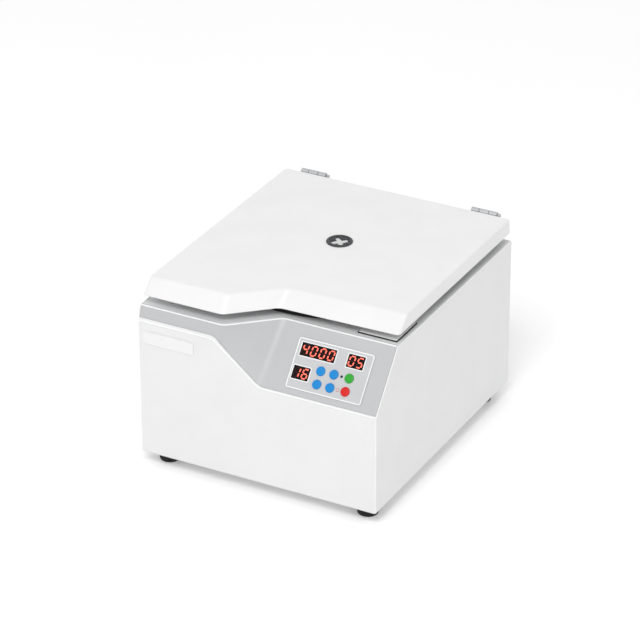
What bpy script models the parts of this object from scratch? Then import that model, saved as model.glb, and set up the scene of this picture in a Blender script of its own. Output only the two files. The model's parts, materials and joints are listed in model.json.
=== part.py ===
"""Bench blood centrifuge with a swing-out rotor, built from separate pieces at real size.

Metres, +Z up, front towards -Y. The origin is the middle of the footprint on the bench.
Heights named _H are measured from the cabinet's lower edge, and depths named _IN from its front face.
"""
import math

import bmesh
import bpy
from mathutils import Matrix, Vector

# Clearances and counts shared by every piece
GAP = 0.0003
OVERRUN = 0.004
WELD = 0.00001
SMOOTH_ANGLE = math.radians(38)
ARC_STEPS = 5
CORNER_STEPS = 3
BEND_STEPS = 6
BLEND_STEPS = 6
SLOPE_STEPS = 6
ROUND_STEPS = 16
PORT_STEPS = 24
BOWL_STEPS = 40

# Cabinet
SIDE_ROOM = 0.0155
REAR_ROOM = 0.0065
RIM_ROOM = 0.0124
SHEET = 0.0016
BODY_EDGE_R = 0.0024
BASE_T = 0.0016
BASE_INSET = 0.0015

# Front outline: the fascia's lower line and the deck's rim line share the two bends
FASCIA_LEFT_DROP = 0.0209
FASCIA_RIGHT_DROP = 0.0773
RIM_LEFT_IN = 0.0070
RIM_RIGHT_IN = 0.0621
FACE_LEFT_ROOM = 0.0365
SWING_W = 0.0693
RIM_LEFT_SHIFT = 0.0135
RIM_RIGHT_SHIFT = 0.0052
BEND_R = 0.020

# Front fascia
FASCIA_T = 0.0020
FASCIA_TAB = 0.008
RIM_ROUND = 0.0022
RIM_FLANGE = 0.0034

# Feet
FOOT_H = 0.0185
FOOT_TOP_R = 0.0165
FOOT_LOW_R = 0.0145
FOOT_EDGE = 0.0015
FOOT_SIDE_IN = 0.0270
FOOT_IN = 0.0306
FOOT_BORE_R = 0.0026
FOOT_POCKET_R = 0.0062
FOOT_POCKET_H = 0.007

# Name plate place at the upper left of the front
PLATE_SIDE_IN = 0.0080
PLATE_DROP = 0.0229
PLATE_W = 0.078
PLATE_TALL = 0.019
PLATE_T = 0.0008
PLATE_R = 0.002
PLATE_RIM = 0.0012
PLATE_SINK = 0.0003

# Control face, measured along x and up the slope
OVERLAY_SIDE_IN = 0.0270
OVERLAY_UP = 0.0458
OVERLAY_TALL = 0.0695
OVERLAY_T = 0.0008
OVERLAY_R = 0.003
DISPLAY_TALL = 0.0175
DISPLAY_DEPTH = 0.0080
DISPLAY_SINK = 0.0003
SPEED_W = 0.0511
SPEED_EDGE = 0.00645
TIME_EDGE = 0.0121
DISPLAY_SPACE = 0.01815
PAIR_W = 0.0242
UPPER_RAISE = 0.0198
PROGRAM_EDGE = 0.0044
PROGRAM_DROP = 0.0124
KEY_LEFT_SHIFT = 0.0125
KEY_PITCH = 0.0195
KEY_ACT_SHIFT = 0.0297
KEY_UPPER_DROP = 0.0035
KEY_LOWER_DROP = 0.0218
KEY_R = 0.0064
KEY_PROUD = 0.0016
KEY_DOME = 0.0006
KEY_SKIRT_R = 0.0074
KEY_SKIRT_T = 0.0010
KEY_STEM_R = 0.0020
KEY_TRAVEL = 0.0010
LED_SHIFT = 0.0184
LED_R = 0.0017
LED_PROUD = 0.0004
BOARD_T = 0.0016
BOARD_MARGIN = 0.0014
BOSS_R = 0.0020
BOSS_MARGIN = 0.0036

# Chamber
BOWL_R = 0.1500
BOWL_T = 0.0010
BOWL_LIP_W = 0.0045
FLOOR_ROOM = 0.0110
BOWL_CORNER_R = 0.018
BOWL_HOLE_R = 0.0280
BOWL_FALL = 0.003
SEAL_STAND = 0.0060
SEAL_W = 0.0085
SEAL_NOSE = 0.0024
BOOT_OUT_R = 0.0340
BOOT_T = 0.0020
BOOT_COLLAR_T = 0.0022
BOOT_COLLAR_H = 0.0075

# Motor under the bowl
DAMPER_R = 0.0110
DAMPER_WAIST_R = 0.0085
DAMPER_TALL = 0.0200
DAMPER_COUNT = 3
DAMPER_IN = 0.0380
MOTOR_PLATE_REACH = 0.106
MOTOR_PLATE_T = 0.004
MOTOR_PLATE_R = 0.020
MOTOR_R = 0.0460
MOTOR_TALL = 0.0620
MOTOR_ROOM = 0.0244
MOTOR_BAND_R = 0.0480
MOTOR_BAND_TALL = 0.0080
MOTOR_EDGE = 0.004
NECK_R = 0.0190
NECK_ABOVE_FLOOR = 0.0100
SHAFT_R = 0.0060
SHAFT_SEAT = 0.0220
COLLAR_R = 0.0110
COLLAR_T = 0.0030
THREAD_R = 0.0040
THREAD_TALL = 0.0090

# Swing-out rotor
PIVOT_DOWN = 0.0273
PIVOT_R = 0.0700
YOKE_BEYOND = 0.0180
YOKE_T = 0.0140
YOKE_SLOT_ROOM = 0.0007
YOKE_SLOT_IN_R = 0.0380
YOKE_SLOT_ROUND = 0.006
YOKE_TIP_ROUND = 0.004
YOKE_HOLE_R = 0.0095
YOKE_HOLE_AT = 0.0640
HUB_R = 0.0190
HUB_BELOW = 0.0350
HUB_ABOVE = 0.0095
PIN_R = 0.0030
PIN_IN_YOKE = 0.0080
NUT_WASHER_R = 0.0125
NUT_WASHER_T = 0.0020
NUT_R = 0.0098
NUT_TALL = 0.0085
NUT_DOME = 0.0045

# Buckets hang from the pins, and sleeves line them
BUCKET_COUNT = 4
BUCKET_R = 0.0190
BUCKET_WALL = 0.0020
SWING_ROOM = 0.0100
BUCKET_ABOVE = 0.0150
BUCKET_FLOOR = 0.0030
BUCKET_EDGE = 0.0040
COLLAR_PROUD = 0.0015
COLLAR_BELOW = 0.0110
COLLAR_WEB = 0.0012
SLEEVE_WALL = 0.0020
SLEEVE_FLANGE_LAP = 0.0022
SLEEVE_FLANGE_T = 0.0020
SLEEVE_FLOOR = 0.0040

# Lid, a hollow pan: its lower line and its top line share the two bends
LID_GAP = 0.0127
LID_TALL = 0.0203
LID_WALL = 0.0016
LID_EDGE_R = 0.0020
LID_CORNER_R = 0.005
LID_BEND_R = 0.016
LID_SIDE_IN = 0.0020
LID_DRAFT = 0.0008
LID_REAR_OVER = 0.0010
LID_LOW_LEFT_BEHIND = 0.0038
LID_LOW_BULGE_BEHIND = 0.0039
LID_LOW_NOTCH_BEHIND = 0.0011
LID_LOW_RIGHT_BEHIND = 0.0061
LIP_LEFT_RUN = 0.0190
LIP_BULGE_RUN = 0.0213
LIP_NOTCH_RUN = 0.0223
LIP_RIGHT_RUN = 0.0250
LID_BULGE_SHIFT = 0.0047
LID_NOTCH_SHIFT = 0.0074
LIP_BULGE_SHIFT = 0.0037
LIP_NOTCH_SHIFT = 0.0020
LIP_SHARE = 1.45
LINER_RAISE = 0.0030
LINER_T = 0.0020
LINER_CLEAR = 0.0006

# Viewing port in the lid
PORT_R = 0.0185
PORT_PROUD = 0.0018
PORT_BEVEL = 0.0012
PORT_SLEEVE_R = 0.0152
PORT_LEDGE_R = 0.0120
PORT_WINDOW_R = 0.0138
PORT_WINDOW_T = 0.0016
PORT_WINDOW_SINK = 0.0002
STAR_ARM_W = 0.0048
STAR_WAIST_R = 0.0042
STAR_T = 0.0016
STAR_BELOW = 0.0004

# Hinges at the rear
HINGE_SIDE_IN = 0.0454
HINGE_W = 0.0390
HINGE_BEHIND = 0.0067
HINGE_UP = 0.0180
KNUCKLE_R = 0.0045
KNUCKLE_W = 0.0120
LEAF_T = 0.0018
LID_NECK = 0.0036
LID_PLATE_LOW = 0.0155
LID_CRANK_LOW = 0.0095
LID_CRANK_HIGH = 0.0072
FIXED_NECK = 0.0010
FIXED_PLATE_LOW = 0.0640
FIXED_CRANK_LOW = 0.0300
FIXED_CRANK_HIGH = 0.0240
KNUCKLE_CLEAR = 0.0012
HINGE_PIN_R = 0.0022
HINGE_PIN_TAIL = 0.0010
HINGE_PIN_NECK = 0.0022
HINGE_PIN_HEAD_R = 0.0030
HINGE_PIN_HEAD = 0.0030

# Lock at the deck's front right corner
COVER_SIDE_IN = 0.0077
COVER_W = 0.0563
COVER_RIM_ROOM = 0.0104
COVER_D = 0.0575
COVER_SEAL_ROOM = 0.0063
COVER_R = 0.0015
COVER_T = 0.0012
COVER_SEAL_T = 0.0008
COVER_SEAL_PROUD = 0.0014
LOCK_SIDE_IN = 0.0283
LOCK_COVER_IN = 0.0275
STRIKER_T = 0.0030
STRIKER_W = 0.0140
STRIKER_REACH = 0.0200
STRIKER_TIP = 0.0040
STRIKER_FOOT_W = 0.0180
STRIKER_FOOT_T = 0.0020
STRIKER_HOLE_W = 0.0086
STRIKER_HOLE_TALL = 0.0080
STRIKER_HOLE_UP = 0.0040
SLOT_SIDE = 0.0015
SLOT_FRONT = 0.0050
SLOT_REAR = 0.0015
LOCK_CASE_W = 0.0440
LOCK_CASE_D = 0.0360
LOCK_CASE_TALL = 0.0300
LOCK_CASE_R = 0.0025
LOCK_SLOT_DEPTH = 0.0240
BOLT_R = 0.0030
BOLT_LENGTH = 0.0270
BOLT_SETBACK = 0.0006
BOLT_HEAD_R = 0.0045
BOLT_HEAD_T = 0.0025
BOLT_TRAVEL = 0.0075

# Rear panel with its vents and the power inlet
VENT_ROWS = 9
VENT_COLUMNS = 2
VENT_W = 0.0620
VENT_TALL = 0.0032
VENT_PITCH = 0.0090
VENT_LOW_H = 0.0480
VENT_MIDDLE_X = -0.0620
VENT_COLUMN_PITCH = 0.0760
INLET_SIDE_IN = 0.0650
INLET_H = 0.0720
INLET_FLANGE_W = 0.0320
INLET_FLANGE_TALL = 0.0580
INLET_FLANGE_T = 0.0022
INLET_BODY_W = 0.0275
INLET_BODY_TALL = 0.0500
INLET_BODY_DEPTH = 0.0220
INLET_R = 0.0025
SOCKET_W = 0.0240
SOCKET_TALL = 0.0165
SOCKET_CHAMFER = 0.0040
SOCKET_DEPTH = 0.0150
SOCKET_DOWN = 0.0125
PRONG_T = 0.0020
PRONG_W = 0.0040
PRONG_REACH = 0.0110
PRONG_SPREAD = 0.0070
PRONG_RISE = 0.0030
ROCKER_UP = 0.0125
ROCKER_REACH = 0.0092
ROCKER_W = 0.0130
ROCKER_PIVOT_SINK = 0.0026
ROCKER_FACE = 0.0032
ROCKER_DISH = 0.0014
ROCKER_BELLY = 0.0060
ROCKER_TILT = math.radians(7)
ROCKER_CAVITY = 0.0120

# The cabinet's size, which follows from the bowl with its seal, the rotor and the motor
BUCKET_BELOW = BOWL_R - SWING_ROOM - PIVOT_R
BOWL_DEPTH = PIVOT_DOWN + BUCKET_BELOW + FLOOR_ROOM
DAMPER_OUT = MOTOR_PLATE_REACH - DAMPER_IN
MOTOR_STACK = DAMPER_TALL + GAP + MOTOR_PLATE_T + GAP + MOTOR_TALL
DECK_H = MOTOR_STACK + MOTOR_ROOM + BOWL_FALL + BOWL_DEPTH
SEAL_IN_R = BOWL_R + SEAL_STAND
SEAL_OUT_R = SEAL_IN_R + SEAL_W
BOWL_LIP_R = BOWL_R + BOWL_LIP_W
CHAMBER_IN = RIM_RIGHT_IN + RIM_ROOM + SEAL_OUT_R
HALF_W = SEAL_OUT_R + SIDE_ROOM
BODY_W = 2 * HALF_W
BODY_D = CHAMBER_IN + SEAL_OUT_R + REAR_ROOM

# Places worked out from the sizes above
CABINET_Z = FOOT_H + GAP + BASE_T + GAP
DECK_Z = CABINET_Z + DECK_H
REAR_REACH = HINGE_BEHIND + KNUCKLE_R
FRONT_REACH = GAP + PLATE_T
FRONT_Y = (FRONT_REACH - BODY_D - REAR_REACH) / 2
BACK_Y = FRONT_Y + BODY_D
CHAMBER_Y = FRONT_Y + CHAMBER_IN
INNER_HALF_W = HALF_W - SHEET - GAP
FASCIA_LEFT_Z = DECK_Z - FASCIA_LEFT_DROP
FASCIA_RIGHT_Z = DECK_Z - FASCIA_RIGHT_DROP
FACE_ANGLE = math.atan2(FASCIA_RIGHT_DROP, RIM_RIGHT_IN)
FOOT_X = HALF_W - FOOT_SIDE_IN
PLATE_X = PLATE_SIDE_IN + PLATE_W / 2 - HALF_W
PLATE_Z = FASCIA_LEFT_Z - PLATE_DROP

# The control face, from its right edge to the two bends that follow at its left
OVERLAY_W = SPEED_EDGE + SPEED_W + DISPLAY_SPACE + PAIR_W + TIME_EDGE
OVERLAY_X = HALF_W - OVERLAY_SIDE_IN - OVERLAY_W / 2
OVERLAY_LEFT_X = OVERLAY_X - OVERLAY_W / 2
SPEED_X = OVERLAY_LEFT_X + SPEED_EDGE + SPEED_W / 2
TIME_X = OVERLAY_X + OVERLAY_W / 2 - TIME_EDGE - PAIR_W / 2
PROGRAM_X = OVERLAY_LEFT_X + PROGRAM_EDGE + PAIR_W / 2
UPPER_UP = OVERLAY_UP + UPPER_RAISE
PROGRAM_UP = OVERLAY_UP - PROGRAM_DROP
KEY_COLUMNS = (OVERLAY_X - KEY_LEFT_SHIFT, OVERLAY_X - KEY_LEFT_SHIFT + KEY_PITCH, OVERLAY_X + KEY_ACT_SHIFT)
KEY_ROWS = (OVERLAY_UP - KEY_UPPER_DROP, OVERLAY_UP - KEY_LOWER_DROP)
LED_X = OVERLAY_X + LED_SHIFT
LOW_BEND_RIGHT_X = OVERLAY_LEFT_X - FACE_LEFT_ROOM
LOW_BEND_LEFT_X = LOW_BEND_RIGHT_X - SWING_W
RIM_BEND_RIGHT_X = LOW_BEND_RIGHT_X + RIM_RIGHT_SHIFT
RIM_BEND_LEFT_X = LOW_BEND_LEFT_X + RIM_LEFT_SHIFT

# The lid over the deck, and the hinge's axis
LID_LOW_Z = DECK_Z + LID_GAP
LID_TOP_Z = LID_LOW_Z + LID_TALL
LINER_Z = LID_LOW_Z + LINER_RAISE
LID_HALF_W = HALF_W - LID_SIDE_IN
LID_REAR_IN = BODY_D + LID_REAR_OVER
LID_LOW_LEFT_IN = RIM_LEFT_IN + LID_LOW_LEFT_BEHIND
LID_LOW_RIGHT_IN = RIM_RIGHT_IN + LID_LOW_RIGHT_BEHIND
LID_LOW_BULGE = (RIM_BEND_LEFT_X - LID_BULGE_SHIFT, RIM_LEFT_IN + LID_LOW_BULGE_BEHIND)
LID_LOW_NOTCH = (RIM_BEND_RIGHT_X - LID_NOTCH_SHIFT, RIM_RIGHT_IN + LID_LOW_NOTCH_BEHIND)
LID_TOP_BULGE = (LID_LOW_BULGE[0] - LIP_BULGE_SHIFT, LID_LOW_BULGE[1] + LIP_BULGE_RUN)
LID_TOP_NOTCH = (LID_LOW_NOTCH[0] + LIP_NOTCH_SHIFT, LID_LOW_NOTCH[1] + LIP_NOTCH_RUN)
HINGE_X = HALF_W - HINGE_SIDE_IN
HINGE_Y = BACK_Y + HINGE_BEHIND
HINGE_Z = LID_LOW_Z + HINGE_UP

# The bowl, the motor below it and the rotor in it
FLOOR_Z = DECK_Z - BOWL_DEPTH
PIVOT_Z = DECK_Z - PIVOT_DOWN
MOTOR_PLATE_Z = CABINET_Z + DAMPER_TALL + GAP
MOTOR_Z = MOTOR_PLATE_Z + MOTOR_PLATE_T + GAP
MOTOR_TOP_Z = MOTOR_Z + MOTOR_TALL
NECK_Z = FLOOR_Z + NECK_ABOVE_FLOOR
HUB_LOW_Z = PIVOT_Z - HUB_BELOW
HUB_TOP_Z = PIVOT_Z + HUB_ABOVE
COLLAR_OUT_R = BUCKET_R + COLLAR_PROUD
BUCKET_BORE_R = BUCKET_R - BUCKET_WALL
SLEEVE_BORE_R = BUCKET_BORE_R - GAP - SLEEVE_WALL
SLEEVE_FLANGE_R = BUCKET_BORE_R + SLEEVE_FLANGE_LAP
YOKE_R = PIVOT_R + YOKE_BEYOND
YOKE_SLOT_HALF = COLLAR_OUT_R + YOKE_SLOT_ROOM

# The lock behind the rim, and the inlet at the rear
COVER_RIGHT_X = HALF_W - COVER_SIDE_IN
COVER_LEFT_X = COVER_RIGHT_X - COVER_W
COVER_FRONT_IN = RIM_RIGHT_IN + COVER_RIM_ROOM
COVER_REAR_IN = COVER_FRONT_IN + COVER_D
COVER_CUT = math.sqrt(2) * (SEAL_OUT_R + COVER_SEAL_ROOM) + COVER_REAR_IN - CHAMBER_IN - COVER_LEFT_X
LOCK_X = COVER_RIGHT_X - LOCK_SIDE_IN
LOCK_IN = COVER_FRONT_IN + LOCK_COVER_IN
INLET_X = HALF_W - INLET_SIDE_IN

ALONG_X = Matrix(((0, 0, 1, 0), (1, 0, 0, 0), (0, 1, 0, 0), (0, 0, 0, 1)))
ALONG_Y = Matrix(((0, 1, 0, 0), (0, 0, 1, 0), (1, 0, 0, 0), (0, 0, 0, 1)))
UP = Vector((0, 0, 1))
BACK = Vector((0, 1, 0))

# Finishes: colour, roughness, metallic
FINISHES = {
    "white_paint": ((0.86, 0.86, 0.87), 0.35, 0.0),
    "lid_paint": ((0.88, 0.88, 0.88), 0.32, 0.0),
    "grey_paint": ((0.62, 0.64, 0.67), 0.38, 0.0),
    "deck_paint": ((0.60, 0.61, 0.62), 0.42, 0.0),
    "plate_white": ((0.84, 0.84, 0.85), 0.25, 0.0),
    "overlay_film": ((0.66, 0.67, 0.70), 0.45, 0.0),
    "display_black": ((0.03, 0.02, 0.02), 0.20, 0.0),
    "key_blue": ((0.03, 0.30, 0.80), 0.40, 0.0),
    "key_green": ((0.05, 0.42, 0.08), 0.40, 0.0),
    "key_red": ((0.70, 0.04, 0.03), 0.40, 0.0),
    "indicator_dark": ((0.04, 0.03, 0.03), 0.30, 0.0),
    "board_green": ((0.02, 0.20, 0.08), 0.50, 0.0),
    "black_rubber": ((0.02, 0.02, 0.02), 0.75, 0.0),
    "black_plastic": ((0.03, 0.03, 0.03), 0.45, 0.0),
    "stainless": ((0.62, 0.62, 0.60), 0.28, 1.0),
    "cast_aluminium": ((0.72, 0.72, 0.73), 0.40, 1.0),
    "zinc_steel": ((0.55, 0.56, 0.57), 0.38, 1.0),
    "motor_dark": ((0.08, 0.08, 0.09), 0.45, 0.3),
    "sleeve_blue": ((0.16, 0.34, 0.62), 0.50, 0.0),
    "port_grey": ((0.10, 0.10, 0.10), 0.40, 0.0),
    "clear_window": ((0.80, 0.82, 0.83), 0.08, 0.0),
    "star_white": ((0.85, 0.85, 0.85), 0.30, 0.0),
}


def clear_scene():
    for thing in list(bpy.data.objects):
        bpy.data.objects.remove(thing, do_unlink=True)


def finish(name):
    """The material of a finish, made the first time that a piece asks for it."""
    material = bpy.data.materials.get(name)
    if material is None:
        colour, roughness, metallic = FINISHES[name]
        material = bpy.data.materials.new(name)
        material.use_nodes = True
        shader = material.node_tree.nodes["Principled BSDF"]
        shader.inputs["Base Color"].default_value = (*colour, 1)
        shader.inputs["Roughness"].default_value = roughness
        shader.inputs["Metallic"].default_value = metallic
        material.diffuse_color = (*colour, 1)
    return material


def add_object(name, form, parent, place):
    """Turns a finished bmesh into an object at a place in its parent's frame."""
    bmesh.ops.recalc_face_normals(form, faces=form.faces)
    mesh = bpy.data.meshes.new(name)
    form.to_mesh(mesh)
    form.free()
    mesh.shade_smooth()
    mesh.set_sharp_from_angle(angle=SMOOTH_ANGLE)
    thing = bpy.data.objects.new(name, mesh)
    thing.parent = parent
    thing.location = place
    bpy.context.collection.objects.link(thing)
    return thing


def piece(name, form, finish_name, parent=None, place=(0, 0, 0)):
    thing = add_object(name, form, parent, place)
    thing.data.materials.append(finish(finish_name))
    return thing


def tool(name, form, parent=None, place=(0, 0, 0)):
    """A solid that only cuts or joins others, and isn't a piece."""
    thing = add_object(name, form, parent, place)
    thing.hide_render = True
    thing.display_type = "WIRE"
    return thing


def combine(thing, other, operation="DIFFERENCE"):
    change = thing.modifiers.new(other.name, "BOOLEAN")
    change.object = other
    change.operation = operation
    change.solver = "EXACT"


def pivot(name, place, parent=None, turn=(0, 0, 0)):
    """An empty on the axis of what moves, or at the corner of a face."""
    empty = bpy.data.objects.new(name, None)
    empty.parent = parent
    empty.location = place
    empty.rotation_euler = turn
    bpy.context.collection.objects.link(empty)
    return empty


def seat_on(thing, empty):
    """Hangs a piece that was modelled in the world's frame on a pivot, without moving it."""
    thing.data.transform(Matrix.Translation(-empty.location))
    thing.parent = empty


def fillet(before, corner, after, radius, steps):
    """Points of the arc that rounds a corner, in two or three dimensions."""
    inward = (before - corner).normalized()
    onward = (after - corner).normalized()
    half = inward.angle(onward) / 2
    start = corner + inward * (radius / math.tan(half))
    end = corner + onward * (radius / math.tan(half))
    centre = corner + (inward + onward).normalized() * (radius / math.sin(half))
    sweep = math.pi - 2 * half
    points = []
    for step in range(steps + 1):
        share = step / steps
        first = math.sin((1 - share) * sweep) / math.sin(sweep)
        second = math.sin(share * sweep) / math.sin(sweep)
        points.append(centre + (start - centre) * first + (end - centre) * second)
    return points


def rounded(corners, radii, steps=CORNER_STEPS):
    """A closed outline with each corner rounded; one radius may serve all corners."""
    corners = [Vector(corner) for corner in corners]
    if not isinstance(radii, (list, tuple)):
        radii = [radii] * len(corners)
    outline = []
    for index, corner in enumerate(corners):
        before = corners[index - 1]
        after = corners[(index + 1) % len(corners)]
        outline += fillet(before, corner, after, radii[index], steps)
    return outline


def rectangle(width, height, middle=(0, 0)):
    x, y = middle
    signs = ((-1, -1), (1, -1), (1, 1), (-1, 1))
    return [Vector((x + sx * width / 2, y + sy * height / 2)) for sx, sy in signs]


def circle(radius, steps, middle=(0, 0)):
    turns = [2 * math.pi * step / steps for step in range(steps)]
    return [Vector((middle[0] + radius * math.cos(a), middle[1] + radius * math.sin(a))) for a in turns]


def prism(outline, low, high, frame=Matrix.Identity(4)):
    """A flat outline drawn out between two levels, then laid in a frame."""
    form = bmesh.new()
    face = form.faces.new([form.verts.new((point[0], point[1], low)) for point in outline])
    drawn = bmesh.ops.extrude_face_region(form, geom=[face])
    moved = [item for item in drawn["geom"] if isinstance(item, bmesh.types.BMVert)]
    bmesh.ops.translate(form, verts=moved, vec=(0, 0, high - low))
    bmesh.ops.transform(form, matrix=frame, verts=form.verts)
    return form


def turned(profile, steps, frame=Matrix.Identity(4)):
    """A profile of (radius, height) points turned round the frame's own Z axis."""
    form = bmesh.new()
    verts = [form.verts.new((radius, 0, height)) for radius, height in profile]
    links = list(zip(verts, verts[1:]))
    if profile[0][0] > 0:
        links.append((verts[-1], verts[0]))
    edges = [form.edges.new(link) for link in links]
    bmesh.ops.spin(form, geom=verts + edges, axis=(0, 0, 1), cent=(0, 0, 0), angle=2 * math.pi,
                   steps=steps, use_merge=True)
    bmesh.ops.remove_doubles(form, verts=form.verts, dist=WELD)
    bmesh.ops.transform(form, matrix=frame, verts=form.verts)
    return form


def lofted(sections):
    """A closed body through equal closed sections, with a face on each end."""
    form = bmesh.new()
    rings = [[form.verts.new(point) for point in section] for section in sections]
    for ring, following in zip(rings, rings[1:]):
        for index, vert in enumerate(ring):
            after = (index + 1) % len(ring)
            form.faces.new((vert, ring[after], following[after], following[index]))
    form.faces.new(rings[0])
    form.faces.new(rings[-1])
    return form


def merged(forms):
    """Several separate solids in one mesh."""
    whole = bmesh.new()
    for form in forms:
        scratch = bpy.data.meshes.new("scratch")
        form.to_mesh(scratch)
        form.free()
        whole.from_mesh(scratch)
        bpy.data.meshes.remove(scratch)
    return whole


def bent_line(start, bend_a, bend_b, end, radius):
    """A line with two rounded bends and evenly spaced points on the stretch between them."""
    first = fillet(start, bend_a, bend_b, radius, BEND_STEPS)
    second = fillet(bend_a, bend_b, end, radius, BEND_STEPS)
    stretch = [first[-1].lerp(second[0], step / BLEND_STEPS) for step in range(1, BLEND_STEPS)]
    return [start] + first + stretch + second + [end]


def front_lines(half_width):
    """The fascia's lower line on the front face, and the rim line on the deck."""
    left_y = FRONT_Y + RIM_LEFT_IN
    right_y = FRONT_Y + RIM_RIGHT_IN
    low = bent_line(Vector((-half_width, FRONT_Y, FASCIA_LEFT_Z)),
                    Vector((LOW_BEND_LEFT_X, FRONT_Y, FASCIA_LEFT_Z)),
                    Vector((LOW_BEND_RIGHT_X, FRONT_Y, FASCIA_RIGHT_Z)),
                    Vector((half_width, FRONT_Y, FASCIA_RIGHT_Z)), BEND_R)
    rim = bent_line(Vector((-half_width, left_y, DECK_Z)), Vector((RIM_BEND_LEFT_X, left_y, DECK_Z)),
                    Vector((RIM_BEND_RIGHT_X, right_y, DECK_Z)), Vector((half_width, right_y, DECK_Z)),
                    BEND_R)
    return low, rim


def evenly(start, end):
    """Points along a slope, close enough that neighbouring slopes stay nearly flat between them."""
    return [start.lerp(end, step / SLOPE_STEPS) for step in range(SLOPE_STEPS + 1)]


def make_cabinet_wrap():
    """One sheet folded round the front and both sides, cut along the fascia's slope."""
    outer = [Vector((-HALF_W, BACK_Y))]
    outer += fillet(Vector((-HALF_W, BACK_Y)), Vector((-HALF_W, FRONT_Y)), Vector((HALF_W, FRONT_Y)),
                    BODY_EDGE_R, CORNER_STEPS)
    outer += fillet(Vector((-HALF_W, FRONT_Y)), Vector((HALF_W, FRONT_Y)), Vector((HALF_W, BACK_Y)),
                    BODY_EDGE_R, CORNER_STEPS)
    outer.append(Vector((HALF_W, BACK_Y)))
    inner_x = HALF_W - SHEET
    inner_y = FRONT_Y + SHEET
    inner_r = BODY_EDGE_R - SHEET
    inner = [Vector((inner_x, BACK_Y))]
    inner += fillet(Vector((inner_x, BACK_Y)), Vector((inner_x, inner_y)), Vector((-inner_x, inner_y)),
                    inner_r, CORNER_STEPS)
    inner += fillet(Vector((inner_x, inner_y)), Vector((-inner_x, inner_y)), Vector((-inner_x, BACK_Y)),
                    inner_r, CORNER_STEPS)
    inner.append(Vector((-inner_x, BACK_Y)))
    wrap = piece("cabinet_wrap", prism(outer + inner, CABINET_Z, DECK_Z), "white_paint")
    combine(wrap, make_slope_tool())


def make_slope_tool():
    """Everything in front of the fascia's slope, past the cabinet on all sides."""
    sections = []
    for low, rim in zip(*front_lines(HALF_W + OVERRUN)):
        slope = rim - low
        head = rim + slope * (OVERRUN / slope.z)
        toe = low - BACK * OVERRUN
        sections.append([toe, *evenly(low, head), Vector((toe.x, toe.y, head.z))])
    return tool("slope_tool", lofted(sections))


def fascia_section(low, rim):
    """One cut across the fascia: its tab behind the sheet, slope, rounded rim and flange."""
    slope = rim - low
    inward = Vector((0, slope.z, -slope.y)).normalized() * FASCIA_T
    foot = low + slope * ((SHEET + GAP) / slope.y)
    bend = rim - slope * (RIM_ROUND / math.hypot(slope.y, slope.z))
    level = rim + BACK * RIM_ROUND
    crown = [bend.lerp(rim, share).lerp(rim.lerp(level, share), share) for share in (1 / 3, 2 / 3)]
    flange = rim + BACK * RIM_FLANGE
    inner_low = low + inward
    inner_rim = inner_low + slope * ((rim.z - FASCIA_T - inner_low.z) / slope.z)
    inner_foot = inner_low + slope * ((foot.y + FASCIA_T - inner_low.y) / slope.y)
    tab = foot - UP * FASCIA_TAB
    return [tab, *evenly(foot, bend), *crown, level, flange, flange - UP * FASCIA_T,
            *evenly(inner_rim, inner_foot), tab + BACK * FASCIA_T]


def make_front_fascia(face, windows):
    """The grey front: a chamfer at the left that swings in an S into the sloping control face."""
    sections = [fascia_section(low, rim) for low, rim in zip(*front_lines(INNER_HALF_W))]
    fascia = piece("front_fascia", lofted(sections), "grey_paint")
    combine(fascia, make_boss_tool(face), "UNION")
    combine(fascia, windows)


def make_top_deck():
    """The deck behind the rim line, open over the bowl and under the striker."""
    rim = front_lines(INNER_HALF_W)[1]
    front = [(point + BACK * (RIM_FLANGE + GAP)).to_2d() for point in rim]
    rear_y = BACK_Y - SHEET - GAP
    outline = front + [Vector((INNER_HALF_W, rear_y)), Vector((-INNER_HALF_W, rear_y))]
    deck = piece("top_deck", prism(outline, DECK_Z - SHEET, DECK_Z), "deck_paint")
    mouth = circle(BOWL_R + BOWL_T + GAP, BOWL_STEPS, (0, CHAMBER_Y))
    combine(deck, tool("mouth_tool", prism(mouth, DECK_Z - SHEET - OVERRUN, DECK_Z + OVERRUN)))
    combine(deck, tool("deck_slot_tool", prism(striker_slot(), DECK_Z - SHEET - OVERRUN, DECK_Z + OVERRUN)))


def make_base_plate():
    """The floor of the cabinet, drilled for the feet."""
    width = BODY_W - 2 * BASE_INSET
    depth = BODY_D - 2 * BASE_INSET
    outline = rounded(rectangle(width, depth, (0, FRONT_Y + BODY_D / 2)), BODY_EDGE_R)
    top = CABINET_Z - GAP
    base = piece("base_plate", prism(outline, top - BASE_T, top), "white_paint")
    holes = [prism(circle(FOOT_BORE_R, ROUND_STEPS // 2, place), top - BASE_T - OVERRUN, top + OVERRUN)
             for place in foot_places().values()]
    combine(base, tool("foot_hole_tool", merged(holes)))


def foot_places():
    front = FRONT_Y + FOOT_IN
    rear = BACK_Y - FOOT_IN
    return {
        "front_left": (-FOOT_X, front),
        "front_right": (FOOT_X, front),
        "rear_left": (-FOOT_X, rear),
        "rear_right": (FOOT_X, rear),
    }


def make_feet():
    """Rubber feet, bored for a screw whose head hides in a pocket."""
    profile = [(FOOT_POCKET_R, 0), (FOOT_LOW_R - FOOT_EDGE, 0), (FOOT_LOW_R, FOOT_EDGE),
               (FOOT_TOP_R, FOOT_H - FOOT_EDGE), (FOOT_TOP_R - FOOT_EDGE, FOOT_H), (FOOT_BORE_R, FOOT_H),
               (FOOT_BORE_R, FOOT_POCKET_H), (FOOT_POCKET_R, FOOT_POCKET_H)]
    for corner, (x, y) in foot_places().items():
        piece("foot_" + corner, turned(profile, ROUND_STEPS), "black_rubber", place=(x, y, 0))


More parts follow.
